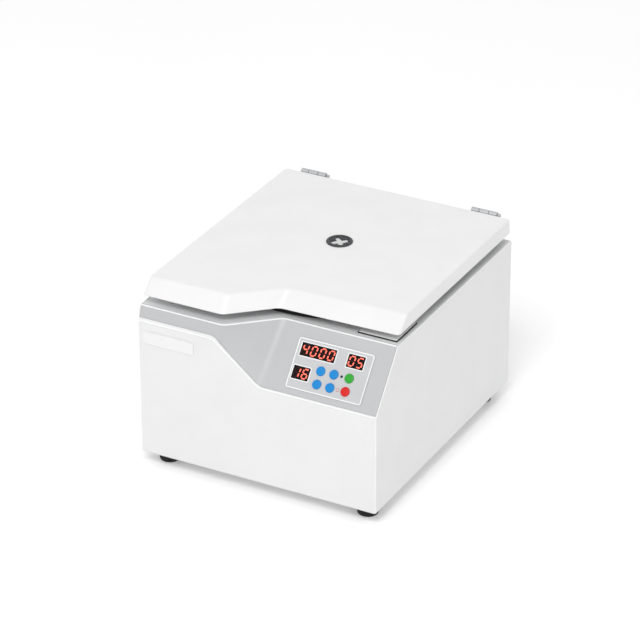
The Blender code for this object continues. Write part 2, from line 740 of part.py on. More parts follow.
def make_name_plate():
    """A bare plate with a raised rim."""
    middle = (PLATE_Z, PLATE_X)
    outline = rounded(rectangle(PLATE_TALL, PLATE_W, middle), PLATE_R)
    back = FRONT_Y - GAP
    plate = piece("name_plate", prism(outline, back - PLATE_T, back, ALONG_Y), "plate_white")
    field = rounded(rectangle(PLATE_TALL - 2 * PLATE_RIM, PLATE_W - 2 * PLATE_RIM, middle),
                    PLATE_R - PLATE_RIM / 2)
    front = back - PLATE_T
    combine(plate, tool("plate_field_tool", prism(field, front - OVERRUN, front + PLATE_SINK, ALONG_Y)))


def display_places():
    """Name, width and middle of each display module on the control face."""
    return (
        ("display_speed", SPEED_W, (SPEED_X, UPPER_UP)),
        ("display_time", PAIR_W, (TIME_X, UPPER_UP)),
        ("display_program", PAIR_W, (PROGRAM_X, PROGRAM_UP)),
    )


def key_places():
    """Name, finish and middle of each key."""
    colours = (("blue", "blue", "green"), ("blue", "blue", "red"))
    names = (("key_up", "key_right", "key_start"), ("key_down", "key_left", "key_stop"))
    places = []
    for row, up in enumerate(KEY_ROWS):
        for column, x in enumerate(KEY_COLUMNS):
            places.append((names[row][column], "key_" + colours[row][column], (x, up)))
    return places


def make_window_tool(face):
    """Windows and key holes, cut alike through the overlay and the fascia."""
    low = -FASCIA_T - OVERRUN
    high = OVERLAY_T + OVERRUN
    cuts = []
    for _, width, middle in display_places():
        window = rectangle(width + 2 * GAP, DISPLAY_TALL + 2 * GAP, middle)
        cuts.append(prism(window, low, high))
    for _, _, middle in key_places():
        cuts.append(prism(circle(KEY_R + GAP, ROUND_STEPS, middle), low, high))
    for up in KEY_ROWS:
        cuts.append(prism(circle(LED_R + GAP, ROUND_STEPS // 2, (LED_X, up)), low, high))
    return tool("window_tool", merged(cuts), face)


def make_overlay(face, windows):
    """The film over the control face, with its windows and key holes."""
    outline = rounded(rectangle(OVERLAY_W, OVERLAY_TALL, (OVERLAY_X, OVERLAY_UP)), OVERLAY_R)
    overlay = piece("keypad_overlay", prism(outline, GAP, GAP + OVERLAY_T), "overlay_film", face)
    combine(overlay, windows)


def make_displays(face):
    top = GAP + OVERLAY_T - DISPLAY_SINK
    for name, width, middle in display_places():
        body = prism(rectangle(width, DISPLAY_TALL), top - DISPLAY_DEPTH, top)
        piece(name, body, "display_black", face, (*middle, 0))


def make_keys(face):
    """Round keys: a low dome, a skirt that stops under the fascia, and a stem to the board."""
    top = GAP + OVERLAY_T + KEY_PROUD
    skirt = -FASCIA_T - GAP
    stem = GAP + OVERLAY_T - DISPLAY_SINK - DISPLAY_DEPTH + KEY_TRAVEL
    profile = [(0, stem), (KEY_STEM_R, stem), (KEY_STEM_R, skirt - KEY_SKIRT_T),
               (KEY_SKIRT_R, skirt - KEY_SKIRT_T), (KEY_SKIRT_R, skirt), (KEY_R, skirt),
               (KEY_R, top - KEY_DOME), (KEY_R - KEY_DOME, top - KEY_DOME / 3), (KEY_R / 2, top), (0, top)]
    for name, colour, middle in key_places():
        piece(name, turned(profile, ROUND_STEPS), colour, face, (*middle, 0))


def make_indicators(face):
    low = GAP + OVERLAY_T - DISPLAY_SINK - DISPLAY_DEPTH
    high = GAP + OVERLAY_T + LED_PROUD
    profile = [(0, low), (LED_R, low), (LED_R, high - LED_PROUD), (LED_R / 2, high), (0, high)]
    for name, up in zip(("indicator_run", "indicator_lid"), KEY_ROWS):
        piece(name, turned(profile, ROUND_STEPS // 2), "indicator_dark", face, (LED_X, up, 0))


def make_control_board(face):
    """The circuit board behind the displays and keys."""
    top = OVERLAY_T - DISPLAY_SINK - DISPLAY_DEPTH
    width = OVERLAY_W - 2 * BOARD_MARGIN
    height = OVERLAY_TALL - 2 * BOARD_MARGIN
    outline = rounded(rectangle(width, height, (OVERLAY_X, OVERLAY_UP)), OVERLAY_R)
    piece("control_board", prism(outline, top - BOARD_T, top), "board_green", face)


def make_boss_tool(face):
    """Four bosses under the control face, which the circuit board is screwed to."""
    low = OVERLAY_T - DISPLAY_SINK - DISPLAY_DEPTH + GAP
    corners = rectangle(OVERLAY_W - 2 * BOSS_MARGIN, OVERLAY_TALL - 2 * BOSS_MARGIN,
                        (OVERLAY_X, OVERLAY_UP))
    bosses = [prism(circle(BOSS_R, ROUND_STEPS // 2, corner), low, -FASCIA_T / 2) for corner in corners]
    return tool("boss_tool", merged(bosses), face)


def make_control_face():
    """Everything on the sloping face, in a frame whose Z axis leaves it squarely."""
    face = pivot("control_face", (0, FRONT_Y, FASCIA_RIGHT_Z), turn=(FACE_ANGLE, 0, 0))
    windows = make_window_tool(face)
    make_overlay(face, windows)
    make_displays(face)
    make_keys(face)
    make_indicators(face)
    make_control_board(face)
    make_front_fascia(face, windows)


def make_chamber_bowl():
    """A drawn bowl that hangs from the deck by its lip; the floor falls to a central hole."""
    lip = DECK_Z + GAP
    inner = BOWL_R
    outer = BOWL_R + BOWL_T
    corner = fillet(Vector((inner, lip)), Vector((inner, FLOOR_Z + BOWL_T)),
                    Vector((BOWL_HOLE_R, FLOOR_Z + BOWL_T - BOWL_FALL)), BOWL_CORNER_R, ARC_STEPS)
    under = fillet(Vector((BOWL_HOLE_R, FLOOR_Z - BOWL_FALL)), Vector((outer, FLOOR_Z)),
                   Vector((outer, lip)), BOWL_CORNER_R + BOWL_T, ARC_STEPS)
    profile = [(BOWL_LIP_R, lip), (BOWL_LIP_R, lip + BOWL_T), (inner, lip + BOWL_T)]
    profile += [tuple(point) for point in corner]
    profile += [(BOWL_HOLE_R, FLOOR_Z + BOWL_T - BOWL_FALL), (BOWL_HOLE_R, FLOOR_Z - BOWL_FALL)]
    profile += [tuple(point) for point in under]
    profile.append((outer, lip))
    piece("chamber_bowl", turned(profile, BOWL_STEPS), "stainless", place=(0, CHAMBER_Y, 0))


def make_bowl_boot():
    """A rubber boot that closes the bowl's hole round the motor's neck."""
    share = (BOOT_OUT_R - BOWL_HOLE_R) / (BOWL_R - BOWL_HOLE_R)
    low = FLOOR_Z + BOWL_T - BOWL_FALL * (1 - share) + GAP
    inner = NECK_R + GAP
    collar = inner + BOOT_COLLAR_T
    profile = [(inner, low), (BOOT_OUT_R, low), (BOOT_OUT_R, low + BOOT_T / 2),
               (BOOT_OUT_R - BOOT_T, low + BOOT_T), (collar + BOOT_T, low + BOOT_T),
               (collar, low + 2 * BOOT_T), (collar, low + BOOT_COLLAR_H), (inner, low + BOOT_COLLAR_H)]
    piece("bowl_boot", turned(profile, ROUND_STEPS), "black_rubber", place=(0, CHAMBER_Y, 0))


def make_lid_seal():
    """The seal that stands on the deck round the bowl's mouth and meets the lid's liner."""
    low = DECK_Z + GAP
    top = LINER_Z - GAP
    profile = [(SEAL_IN_R, low), (SEAL_OUT_R, low), (SEAL_OUT_R, top - SEAL_NOSE),
               (SEAL_OUT_R - SEAL_NOSE, top), (SEAL_IN_R + SEAL_NOSE, top), (SEAL_IN_R, top - SEAL_NOSE)]
    piece("lid_seal", turned(profile, BOWL_STEPS), "black_rubber", place=(0, CHAMBER_Y, 0))


def make_motor():
    """The motor on a three-cornered plate, with a waisted rubber damper under each corner."""
    low = CABINET_Z
    high = low + DAMPER_TALL
    profile = [(0, low), (DAMPER_R, low), (DAMPER_R, low + DAMPER_TALL / 5),
               (DAMPER_WAIST_R, low + DAMPER_TALL / 2), (DAMPER_R, high - DAMPER_TALL / 5),
               (DAMPER_R, high), (0, high)]
    corners = []
    for third in range(DAMPER_COUNT):
        turn = math.pi / 2 + 2 * math.pi * third / DAMPER_COUNT
        place = (DAMPER_OUT * math.cos(turn), CHAMBER_Y + DAMPER_OUT * math.sin(turn), 0)
        corners.append((MOTOR_PLATE_REACH * math.cos(turn), CHAMBER_Y + MOTOR_PLATE_REACH * math.sin(turn)))
        damper = turned(profile, ROUND_STEPS // 2)
        piece("motor_damper_" + str(third + 1), damper, "black_rubber", place=place)
    outline = rounded(corners, MOTOR_PLATE_R, ARC_STEPS)
    piece("motor_plate", prism(outline, MOTOR_PLATE_Z, MOTOR_PLATE_Z + MOTOR_PLATE_T), "zinc_steel")
    piece("motor_case", turned(motor_profile(), ROUND_STEPS), "motor_dark", place=(0, CHAMBER_Y, 0))


def motor_profile():
    top = MOTOR_TOP_Z
    bore = SHAFT_R + GAP
    return [(0, MOTOR_Z), (MOTOR_BAND_R, MOTOR_Z), (MOTOR_BAND_R, MOTOR_Z + MOTOR_BAND_TALL),
            (MOTOR_R, MOTOR_Z + MOTOR_BAND_TALL), (MOTOR_R, top - MOTOR_BAND_TALL),
            (MOTOR_BAND_R, top - MOTOR_BAND_TALL), (MOTOR_BAND_R, top - MOTOR_EDGE),
            (MOTOR_BAND_R - MOTOR_EDGE, top), (NECK_R, top), (NECK_R, NECK_Z), (bore, NECK_Z),
            (bore, NECK_Z - SHAFT_SEAT - GAP), (0, NECK_Z - SHAFT_SEAT - GAP)]


def make_drive_shaft(spin):
    """The shaft from the motor's neck, with a collar under the hub and a thread for the nut."""
    low = NECK_Z - SHAFT_SEAT
    collar = HUB_LOW_Z - GAP
    profile = [(0, low), (SHAFT_R, low), (SHAFT_R, collar - COLLAR_T), (COLLAR_R, collar - COLLAR_T),
               (COLLAR_R, collar), (SHAFT_R, collar), (SHAFT_R, HUB_TOP_Z - GAP),
               (THREAD_R, HUB_TOP_Z - GAP), (THREAD_R, HUB_TOP_Z + THREAD_TALL), (0, HUB_TOP_Z + THREAD_TALL)]
    shaft = piece("drive_shaft", turned(profile, ROUND_STEPS, Matrix.Translation((0, CHAMBER_Y, 0))),
                  "zinc_steel")
    seat_on(shaft, spin)


def yoke_outline():
    """A round plate with four open slots, so that four wide arms are left between them."""
    reach = math.sqrt(YOKE_R ** 2 - YOKE_SLOT_HALF ** 2)
    corners = []
    radii = []
    for quarter in range(BUCKET_COUNT):
        turn = Matrix.Rotation(2 * math.pi * quarter / BUCKET_COUNT, 2)
        arm = [(YOKE_SLOT_IN_R, -YOKE_SLOT_HALF), (YOKE_SLOT_IN_R, YOKE_SLOT_HALF), (reach, YOKE_SLOT_HALF),
               (YOKE_R / math.sqrt(2), YOKE_R / math.sqrt(2)), (YOKE_SLOT_HALF, reach)]
        corners += [turn @ Vector(point) for point in arm]
        radii += [YOKE_SLOT_ROUND, YOKE_SLOT_ROUND, YOKE_TIP_ROUND, YOKE_R / 2, YOKE_TIP_ROUND]
    return rounded(corners, radii)


def quarter_frame(quarter, radius, height):
    """The frame of a bucket's pivot: X leaves the rotor's axis and Y lies along the pins."""
    turn = Matrix.Rotation(2 * math.pi * quarter / BUCKET_COUNT, 4, "Z")
    return Matrix.Translation((0, CHAMBER_Y, height)) @ turn @ Matrix.Translation((radius, 0, 0))


def pin_frames():
    """One frame for each pin, with Z along the pin and away from its bucket."""
    frames = []
    for quarter in range(BUCKET_COUNT):
        for side in (-1, 1):
            lay = Matrix.Rotation(-side * math.pi / 2, 4, "X")
            frames.append(quarter_frame(quarter, PIVOT_R, PIVOT_Z) @ lay)
    return frames


def make_rotor(spin):
    """The cross-shaped yoke with its hub and trunnion pins, and the nut."""
    plate = [(point.x, point.y + CHAMBER_Y) for point in yoke_outline()]
    yoke = piece("rotor_yoke", prism(plate, PIVOT_Z - YOKE_T / 2, PIVOT_Z + YOKE_T / 2), "cast_aluminium")
    axis = Matrix.Translation((0, CHAMBER_Y, 0))
    hub = turned([(0, HUB_LOW_Z), (HUB_R, HUB_LOW_Z), (HUB_R, HUB_TOP_Z), (0, HUB_TOP_Z)], ROUND_STEPS, axis)
    combine(yoke, tool("hub_tool", hub), "UNION")
    cuts = [turned([(0, HUB_LOW_Z - OVERRUN), (SHAFT_R + GAP, HUB_LOW_Z - OVERRUN),
                    (SHAFT_R + GAP, HUB_TOP_Z + OVERRUN), (0, HUB_TOP_Z + OVERRUN)], ROUND_STEPS, axis)]
    for quarter in range(BUCKET_COUNT):
        turn = math.pi / BUCKET_COUNT + 2 * math.pi * quarter / BUCKET_COUNT
        middle = (YOKE_HOLE_AT * math.cos(turn), CHAMBER_Y + YOKE_HOLE_AT * math.sin(turn))
        cuts.append(prism(circle(YOKE_HOLE_R, ROUND_STEPS // 2, middle), PIVOT_Z - YOKE_T, PIVOT_Z + YOKE_T))
    combine(yoke, tool("yoke_tool", merged(cuts)))
    inner = BUCKET_BORE_R + COLLAR_WEB + GAP
    outer = YOKE_SLOT_HALF + PIN_IN_YOKE
    pin = [(0, inner), (PIN_R, inner), (PIN_R, outer), (0, outer)]
    pins = [turned(pin, ROUND_STEPS // 2, frame) for frame in pin_frames()]
    combine(yoke, tool("pin_tool", merged(pins)), "UNION")
    for thing in (yoke, make_rotor_nut()):
        seat_on(thing, spin)


def make_rotor_nut():
    """A domed hexagon nut on a washer face."""
    low = HUB_TOP_Z + GAP
    hexagon = low + NUT_WASHER_T
    top = hexagon + NUT_TALL
    bore_top = HUB_TOP_Z + THREAD_TALL + GAP
    frame = Matrix.Translation((0, CHAMBER_Y, 0))
    nut = piece("rotor_nut", prism(circle(NUT_R, 6, (0, CHAMBER_Y)), hexagon, top), "zinc_steel")
    skin = [(0, low), (NUT_WASHER_R, low), (NUT_WASHER_R, hexagon), (NUT_R - NUT_WASHER_T, hexagon),
            (NUT_R - NUT_WASHER_T, top), (NUT_R / 2, top + NUT_DOME * 2 / 3), (0, top + NUT_DOME)]
    combine(nut, tool("nut_body_tool", turned(skin, ROUND_STEPS, frame)), "UNION")
    bore = [(0, low - OVERRUN), (THREAD_R + GAP, low - OVERRUN), (THREAD_R + GAP, bore_top), (0, bore_top)]
    combine(nut, tool("nut_bore_tool", turned(bore, ROUND_STEPS, frame)))
    return nut


def bucket_profile():
    """Outside from the foot up, over the collar, then the bore down to the floor."""
    low = -BUCKET_BELOW
    floor = low + BUCKET_FLOOR
    return [(0, low), (BUCKET_R - BUCKET_EDGE, low), (BUCKET_R - BUCKET_EDGE / 3, low + BUCKET_EDGE / 3),
            (BUCKET_R, low + BUCKET_EDGE), (BUCKET_R, -COLLAR_BELOW - COLLAR_OUT_R + BUCKET_R),
            (COLLAR_OUT_R, -COLLAR_BELOW), (COLLAR_OUT_R, BUCKET_ABOVE), (BUCKET_BORE_R, BUCKET_ABOVE),
            (BUCKET_BORE_R, floor), (0, floor)]


def sleeve_profile():
    """A tube holder with a flange on the bucket's rim and a hollow seat at the bottom."""
    low = -BUCKET_BELOW + BUCKET_FLOOR + GAP
    rim = BUCKET_ABOVE + GAP
    outer = BUCKET_BORE_R - GAP
    seat = low + SLEEVE_FLOOR
    return [(0, low), (outer, low), (outer, rim), (SLEEVE_FLANGE_R, rim),
            (SLEEVE_FLANGE_R, rim + SLEEVE_FLANGE_T), (SLEEVE_BORE_R, rim + SLEEVE_FLANGE_T),
            (SLEEVE_BORE_R, seat + SLEEVE_BORE_R / 2), (SLEEVE_BORE_R / 2, seat + SLEEVE_BORE_R / 6),
            (0, seat)]


def make_buckets(spin):
    """Four buckets, each on its own pivot, with slots in the collar that hang on the pins."""
    for quarter in range(BUCKET_COUNT):
        turn = 2 * math.pi * quarter / BUCKET_COUNT
        place = (PIVOT_R * math.cos(turn), PIVOT_R * math.sin(turn), PIVOT_Z)
        hang = pivot("bucket_pivot_" + str(quarter + 1), place, spin, (0, 0, turn))
        bucket = piece("bucket_" + str(quarter + 1), turned(bucket_profile(), ROUND_STEPS), "stainless", hang)
        for side in (-1, 1):
            lay = Matrix.Rotation(-side * math.pi / 2, 4, "X")
            depth = BUCKET_BORE_R + COLLAR_WEB
            slot = circle(PIN_R + GAP, ROUND_STEPS // 2)
            eye = prism(slot, depth, COLLAR_OUT_R + OVERRUN, lay)
            combine(bucket, tool("eye_tool_" + str(quarter) + str(side), eye, hang))
            open_way = rectangle(2 * (PIN_R + GAP), COLLAR_BELOW + OVERRUN,
                                 (0, side * (COLLAR_BELOW + OVERRUN) / 2))
            way = prism(open_way, depth, COLLAR_OUT_R + OVERRUN, lay)
            combine(bucket, tool("way_tool_" + str(quarter) + str(side), way, hang))
        piece("tube_sleeve_" + str(quarter + 1), turned(sleeve_profile(), ROUND_STEPS), "sleeve_blue", hang)


def lid_ring(height, inset):
    """The lid's outline at a height above its lower edge, drawn in by an inset."""
    share = height / LID_TALL
    half = LID_HALF_W - LID_DRAFT * share - inset
    lip = inset * LIP_SHARE
    left = LID_LOW_LEFT_IN + LIP_LEFT_RUN * share + lip
    right = LID_LOW_RIGHT_IN + LIP_RIGHT_RUN * share + lip
    bulge = Vector(LID_LOW_BULGE).lerp(Vector(LID_TOP_BULGE), share) + Vector((0, lip))
    notch = Vector(LID_LOW_NOTCH).lerp(Vector(LID_TOP_NOTCH), share) + Vector((0, lip))
    rear = LID_REAR_IN - inset
    corners = [(-half, left), bulge, notch, (half, right), (half, rear), (-half, rear)]
    radii = [LID_CORNER_R, LID_BEND_R, LID_BEND_R, LID_CORNER_R, LID_CORNER_R, LID_CORNER_R]
    outline = rounded(corners, radii, ARC_STEPS)
    return [Vector((point.x, point.y + FRONT_Y, LID_LOW_Z + height)) for point in outline]


def make_lid_shell(hang):
    """The hollow lid: sloping front lip, rounded upper edge, open underneath."""
    soft = LID_EDGE_R * (1 - math.sqrt(0.5))
    rings = [
        lid_ring(LID_TALL - LID_WALL, LID_WALL + LID_EDGE_R),
        lid_ring(LID_TALL - LID_WALL - LID_EDGE_R, LID_WALL),
        lid_ring(0, LID_WALL),
        lid_ring(0, 0),
        lid_ring(LID_TALL - LID_EDGE_R, 0),
        lid_ring(LID_TALL - soft, soft),
        lid_ring(LID_TALL, LID_EDGE_R),
    ]
    lid = piece("lid_shell", lofted(rings), "lid_paint")
    hole = circle(PORT_SLEEVE_R + GAP, PORT_STEPS, (0, CHAMBER_Y))
    combine(lid, tool("port_tool", prism(hole, LINER_Z - OVERRUN, LID_TOP_Z + OVERRUN)))
    seat_on(lid, hang)


def make_lid_liner(hang):
    """The inner plate of the lid, which the seal meets."""
    rings = [lid_ring(height, LID_WALL + LINER_CLEAR) for height in (LINER_RAISE, LINER_RAISE + LINER_T)]
    liner = piece("lid_liner", lofted(rings), "deck_paint")
    hole = circle(PORT_SLEEVE_R + GAP, PORT_STEPS, (0, CHAMBER_Y))
    combine(liner, tool("liner_port_tool", prism(hole, LINER_Z - OVERRUN, LID_TOP_Z)))
    seat_on(liner, hang)


def make_port(hang):
    """The viewing port: a bevelled ring, a window let into it and a four-arm star below."""
    top = LID_TOP_Z + PORT_PROUD
    window_low = top - PORT_WINDOW_SINK - PORT_WINDOW_T
    ledge = window_low - GAP
    flange = LID_TOP_Z + GAP
    profile = [(PORT_LEDGE_R, LINER_Z), (PORT_SLEEVE_R, LINER_Z), (PORT_SLEEVE_R, flange), (PORT_R, flange),
               (PORT_R, top - PORT_BEVEL), (PORT_R - PORT_BEVEL, top), (PORT_WINDOW_R + GAP, top),
               (PORT_WINDOW_R + GAP, ledge), (PORT_LEDGE_R, ledge)]
    axis = Matrix.Translation((0, CHAMBER_Y, 0))
    ring = piece("port_ring", turned(profile, PORT_STEPS, axis), "port_grey")
    disc = [(0, window_low), (PORT_WINDOW_R, window_low), (PORT_WINDOW_R, top - PORT_WINDOW_SINK),
            (0, top - PORT_WINDOW_SINK)]
    window = piece("port_window", turned(disc, PORT_STEPS, axis), "clear_window")
    star_top = ledge - STAR_BELOW
    star = piece("port_star", prism(star_outline(), star_top - STAR_T, star_top), "star_white")
    for thing in (ring, window, star):
        seat_on(thing, hang)


def star_outline():
    """Four arms across the port's bore, waisted between them."""
    reach = PORT_LEDGE_R - GAP
    long = math.sqrt(reach ** 2 - (STAR_ARM_W / 2) ** 2)
    corners = []
    for quarter in range(4):
        turn = Matrix.Rotation(math.pi / 4 + math.pi / 2 * quarter, 2)
        arm = [(long, -STAR_ARM_W / 2), (long, STAR_ARM_W / 2), (STAR_WAIST_R, STAR_ARM_W / 2)]
        corners += [turn @ Vector(point) for point in arm]
    return [(point.x, point.y + CHAMBER_Y) for point in corners]


def leaf_outline(plate_y, neck_y, low, crank_low, crank_high):
    """A cranked hinge leaf in section, with the barrel at its top; the axis is the origin."""
    near = math.acos(neck_y / KNUCKLE_R)
    far = math.acos((neck_y + LEAF_T) / KNUCKLE_R)
    steps = ROUND_STEPS - CORNER_STEPS
    sweep = 2 * math.pi - near + far
    turns = [-far + sweep * step / steps for step in range(steps + 1)]
    barrel = [(KNUCKLE_R * math.cos(turn), KNUCKLE_R * math.sin(turn)) for turn in turns]
    left = [(neck_y, -crank_high), (plate_y, -crank_low), (plate_y, -low)]
    right = [(plate_y + LEAF_T, -low), (plate_y + LEAF_T, -crank_low), (neck_y + LEAF_T, -crank_high)]
    return barrel + left + right


def hinge_bore(x):
    start = x - HINGE_W / 2 - OVERRUN
    bore = circle(HINGE_PIN_R + GAP, ROUND_STEPS // 2)
    return prism(bore, start, start + HINGE_W + 2 * OVERRUN, ALONG_X)


def notch_box(start, end, low):
    """Clears the other leaf's knuckle, from below the barrel up."""
    side = KNUCKLE_R + OVERRUN
    outline = [(-side, -low), (side, -low), (side, side), (-side, side)]
    return prism(outline, start, end, ALONG_X)


def make_hinge(side, x, hang):
    """A butt hinge: two knuckles on the cabinet's leaf, one on the lid's, and a headed pin."""
    axis = (0, HINGE_Y, HINGE_Z)
    start = x - HINGE_W / 2
    end = x + HINGE_W / 2
    clear = KNUCKLE_R + KNUCKLE_CLEAR
    fixed = piece("hinge_cabinet_leaf_" + side,
                  prism(leaf_outline(GAP - HINGE_BEHIND, -FIXED_NECK, FIXED_PLATE_LOW, FIXED_CRANK_LOW,
                                     FIXED_CRANK_HIGH), start, end, ALONG_X), "zinc_steel", place=axis)
    middle = notch_box(start + KNUCKLE_W - GAP, end - KNUCKLE_W + GAP, clear)
    combine(fixed, tool("middle_tool_" + side, merged([middle]), place=axis))
    combine(fixed, tool("bore_tool_" + side, hinge_bore(x), place=axis))
    plate_y = LID_REAR_IN + GAP - BODY_D - HINGE_BEHIND
    moving = piece("hinge_lid_leaf_" + side,
                   prism(leaf_outline(plate_y, -LID_NECK, LID_PLATE_LOW, LID_CRANK_LOW, LID_CRANK_HIGH),
                         start, end, ALONG_X), "zinc_steel", hang)
    ends = [notch_box(start - OVERRUN, start + KNUCKLE_W + GAP, clear),
            notch_box(end - KNUCKLE_W - GAP, end + OVERRUN, clear)]
    combine(moving, tool("ends_tool_" + side, merged(ends), hang))
    combine(moving, tool("lid_bore_tool_" + side, hinge_bore(x), hang))
    neck = end + HINGE_PIN_NECK
    head = neck + HINGE_PIN_HEAD
    pin = [(0, start - HINGE_PIN_TAIL), (HINGE_PIN_R, start - HINGE_PIN_TAIL), (HINGE_PIN_R, neck),
           (HINGE_PIN_HEAD_R, neck), (HINGE_PIN_HEAD_R, head - HINGE_PIN_HEAD / 3),
           (HINGE_PIN_HEAD_R / 2, head), (0, head)]
    piece("hinge_pin_" + side, turned(pin, ROUND_STEPS // 2, ALONG_X), "zinc_steel", place=axis)


def striker_slot():
    """The slot that the striker passes, longer at the front because the lid swings forward."""
    y = FRONT_Y + LOCK_IN
    half = STRIKER_T / 2 + SLOT_SIDE
    front = y - STRIKER_W / 2 - SLOT_FRONT
    rear = y + STRIKER_W / 2 + SLOT_REAR
    return [(LOCK_X - half, front), (LOCK_X + half, front), (LOCK_X + half, rear), (LOCK_X - half, rear)]


def cover_outline(grow):
    """The lock cover in plan: its inner corner is cut off to clear the seal."""
    left = COVER_LEFT_X - grow
    right = COVER_RIGHT_X + grow
    front = FRONT_Y + COVER_FRONT_IN - grow
    rear = FRONT_Y + COVER_REAR_IN + grow
    corners = [(left, front), (right, front), (right, rear), (left + COVER_CUT, rear),
               (left, rear - COVER_CUT)]
    return rounded(corners, COVER_R)


def make_lock():
    """Cover plate on its seal, the lock case under the deck and the bolt that slides in it."""
    seal_low = DECK_Z + GAP
    cover_low = seal_low + COVER_SEAL_T + GAP
    slot = tool("cover_slot_tool", prism(striker_slot(), DECK_Z - OVERRUN, cover_low + COVER_T + OVERRUN))
    seal = piece("lock_cover_seal", prism(cover_outline(COVER_SEAL_PROUD), seal_low, seal_low + COVER_SEAL_T),
                 "black_rubber")
    cover = piece("lock_cover", prism(cover_outline(0), cover_low, cover_low + COVER_T), "plate_white")
    for thing in (seal, cover):
        combine(thing, slot)
    make_lock_case()
    make_lock_bolt()


def bolt_height():
    return DECK_Z - STRIKER_REACH + STRIKER_TIP + STRIKER_HOLE_UP + STRIKER_HOLE_TALL / 2


def make_lock_case():
    y = FRONT_Y + LOCK_IN
    top = DECK_Z - SHEET - GAP
    outline = rounded(rectangle(LOCK_CASE_W, LOCK_CASE_D, (LOCK_X, y)), LOCK_CASE_R)
    case = piece("lock_case", prism(outline, top - LOCK_CASE_TALL, top), "black_plastic")
    slot = prism(striker_slot(), top - LOCK_SLOT_DEPTH, top + OVERRUN)
    combine(case, tool("case_slot_tool", slot))
    depth = LOCK_CASE_W / 2 + OVERRUN
    place = Matrix.Translation((LOCK_X, y, bolt_height()))
    lay = place @ Matrix.Rotation(-math.pi / 2, 4, "Y")
    bore = prism(circle(BOLT_R + GAP, ROUND_STEPS // 2), -BOLT_TRAVEL, depth, lay)
    combine(case, tool("case_bore_tool", bore))


def make_lock_bolt():
    """A round bolt that slides along +X into the striker, modelled drawn back."""
    tip = STRIKER_T / 2 + SLOT_SIDE + BOLT_SETBACK
    profile = [(0, tip), (BOLT_R - BOLT_R / 3, tip), (BOLT_R, tip + BOLT_R / 3), (BOLT_R, tip + BOLT_LENGTH),
               (BOLT_HEAD_R, tip + BOLT_LENGTH), (BOLT_HEAD_R, tip + BOLT_LENGTH + BOLT_HEAD_T),
               (0, tip + BOLT_LENGTH + BOLT_HEAD_T)]
    lay = Matrix.Rotation(-math.pi / 2, 4, "Y")
    piece("lock_bolt", turned(profile, ROUND_STEPS // 2, lay), "zinc_steel",
          place=(LOCK_X, FRONT_Y + LOCK_IN, bolt_height()))


def make_striker(hang):
    """The blade under the lid that the bolt catches, on a foot against the liner."""
    y = FRONT_Y + LOCK_IN
    top = LINER_Z - GAP
    low = DECK_Z - STRIKER_REACH
    half = STRIKER_W / 2
    blade = [(y - half, top - STRIKER_FOOT_T / 2), (y - half, low + STRIKER_TIP), (y - half / 2, low),
             (y + half / 2, low), (y + half, low + STRIKER_TIP), (y + half, top - STRIKER_FOOT_T / 2)]
    striker = piece("lid_striker", prism(blade, LOCK_X - STRIKER_T / 2, LOCK_X + STRIKER_T / 2, ALONG_X),
                    "zinc_steel")
    foot = rounded(rectangle(STRIKER_FOOT_W, STRIKER_FOOT_W, (LOCK_X, y)), STRIKER_FOOT_T)
    combine(striker, tool("striker_foot_tool", prism(foot, top - STRIKER_FOOT_T, top)), "UNION")
    eye_low = low + STRIKER_TIP + STRIKER_HOLE_UP
    eye = rectangle(STRIKER_HOLE_W, STRIKER_HOLE_TALL, (y, eye_low + STRIKER_HOLE_TALL / 2))
    combine(striker, tool("striker_eye_tool", prism(eye, LOCK_X - OVERRUN, LOCK_X + OVERRUN, ALONG_X)))
    seat_on(striker, hang)


def make_rear_panel():
    """The back plate between the side walls, with vents and the inlet's cut-out."""
    width = 2 * INNER_HALF_W
    outline = rectangle(DECK_H, width, (CABINET_Z + DECK_H / 2, 0))
    panel = piece("rear_panel", prism(outline, BACK_Y - SHEET, BACK_Y, ALONG_Y), "white_paint")
    cuts = []
    for column in range(VENT_COLUMNS):
        x = VENT_MIDDLE_X + (column - (VENT_COLUMNS - 1) / 2) * VENT_COLUMN_PITCH
        for row in range(VENT_ROWS):
            z = CABINET_Z + VENT_LOW_H + row * VENT_PITCH
            slot = rounded(rectangle(VENT_TALL, VENT_W, (z, x)), VENT_TALL / 2 - WELD, 2)
            cuts.append(prism(slot, BACK_Y - SHEET - OVERRUN, BACK_Y + OVERRUN, ALONG_Y))
    body = rectangle(INLET_BODY_TALL + 2 * GAP, INLET_BODY_W + 2 * GAP, (CABINET_Z + INLET_H, INLET_X))
    cuts.append(prism(body, BACK_Y - SHEET - OVERRUN, BACK_Y + OVERRUN, ALONG_Y))
    combine(panel, tool("vent_tool", merged(cuts)))


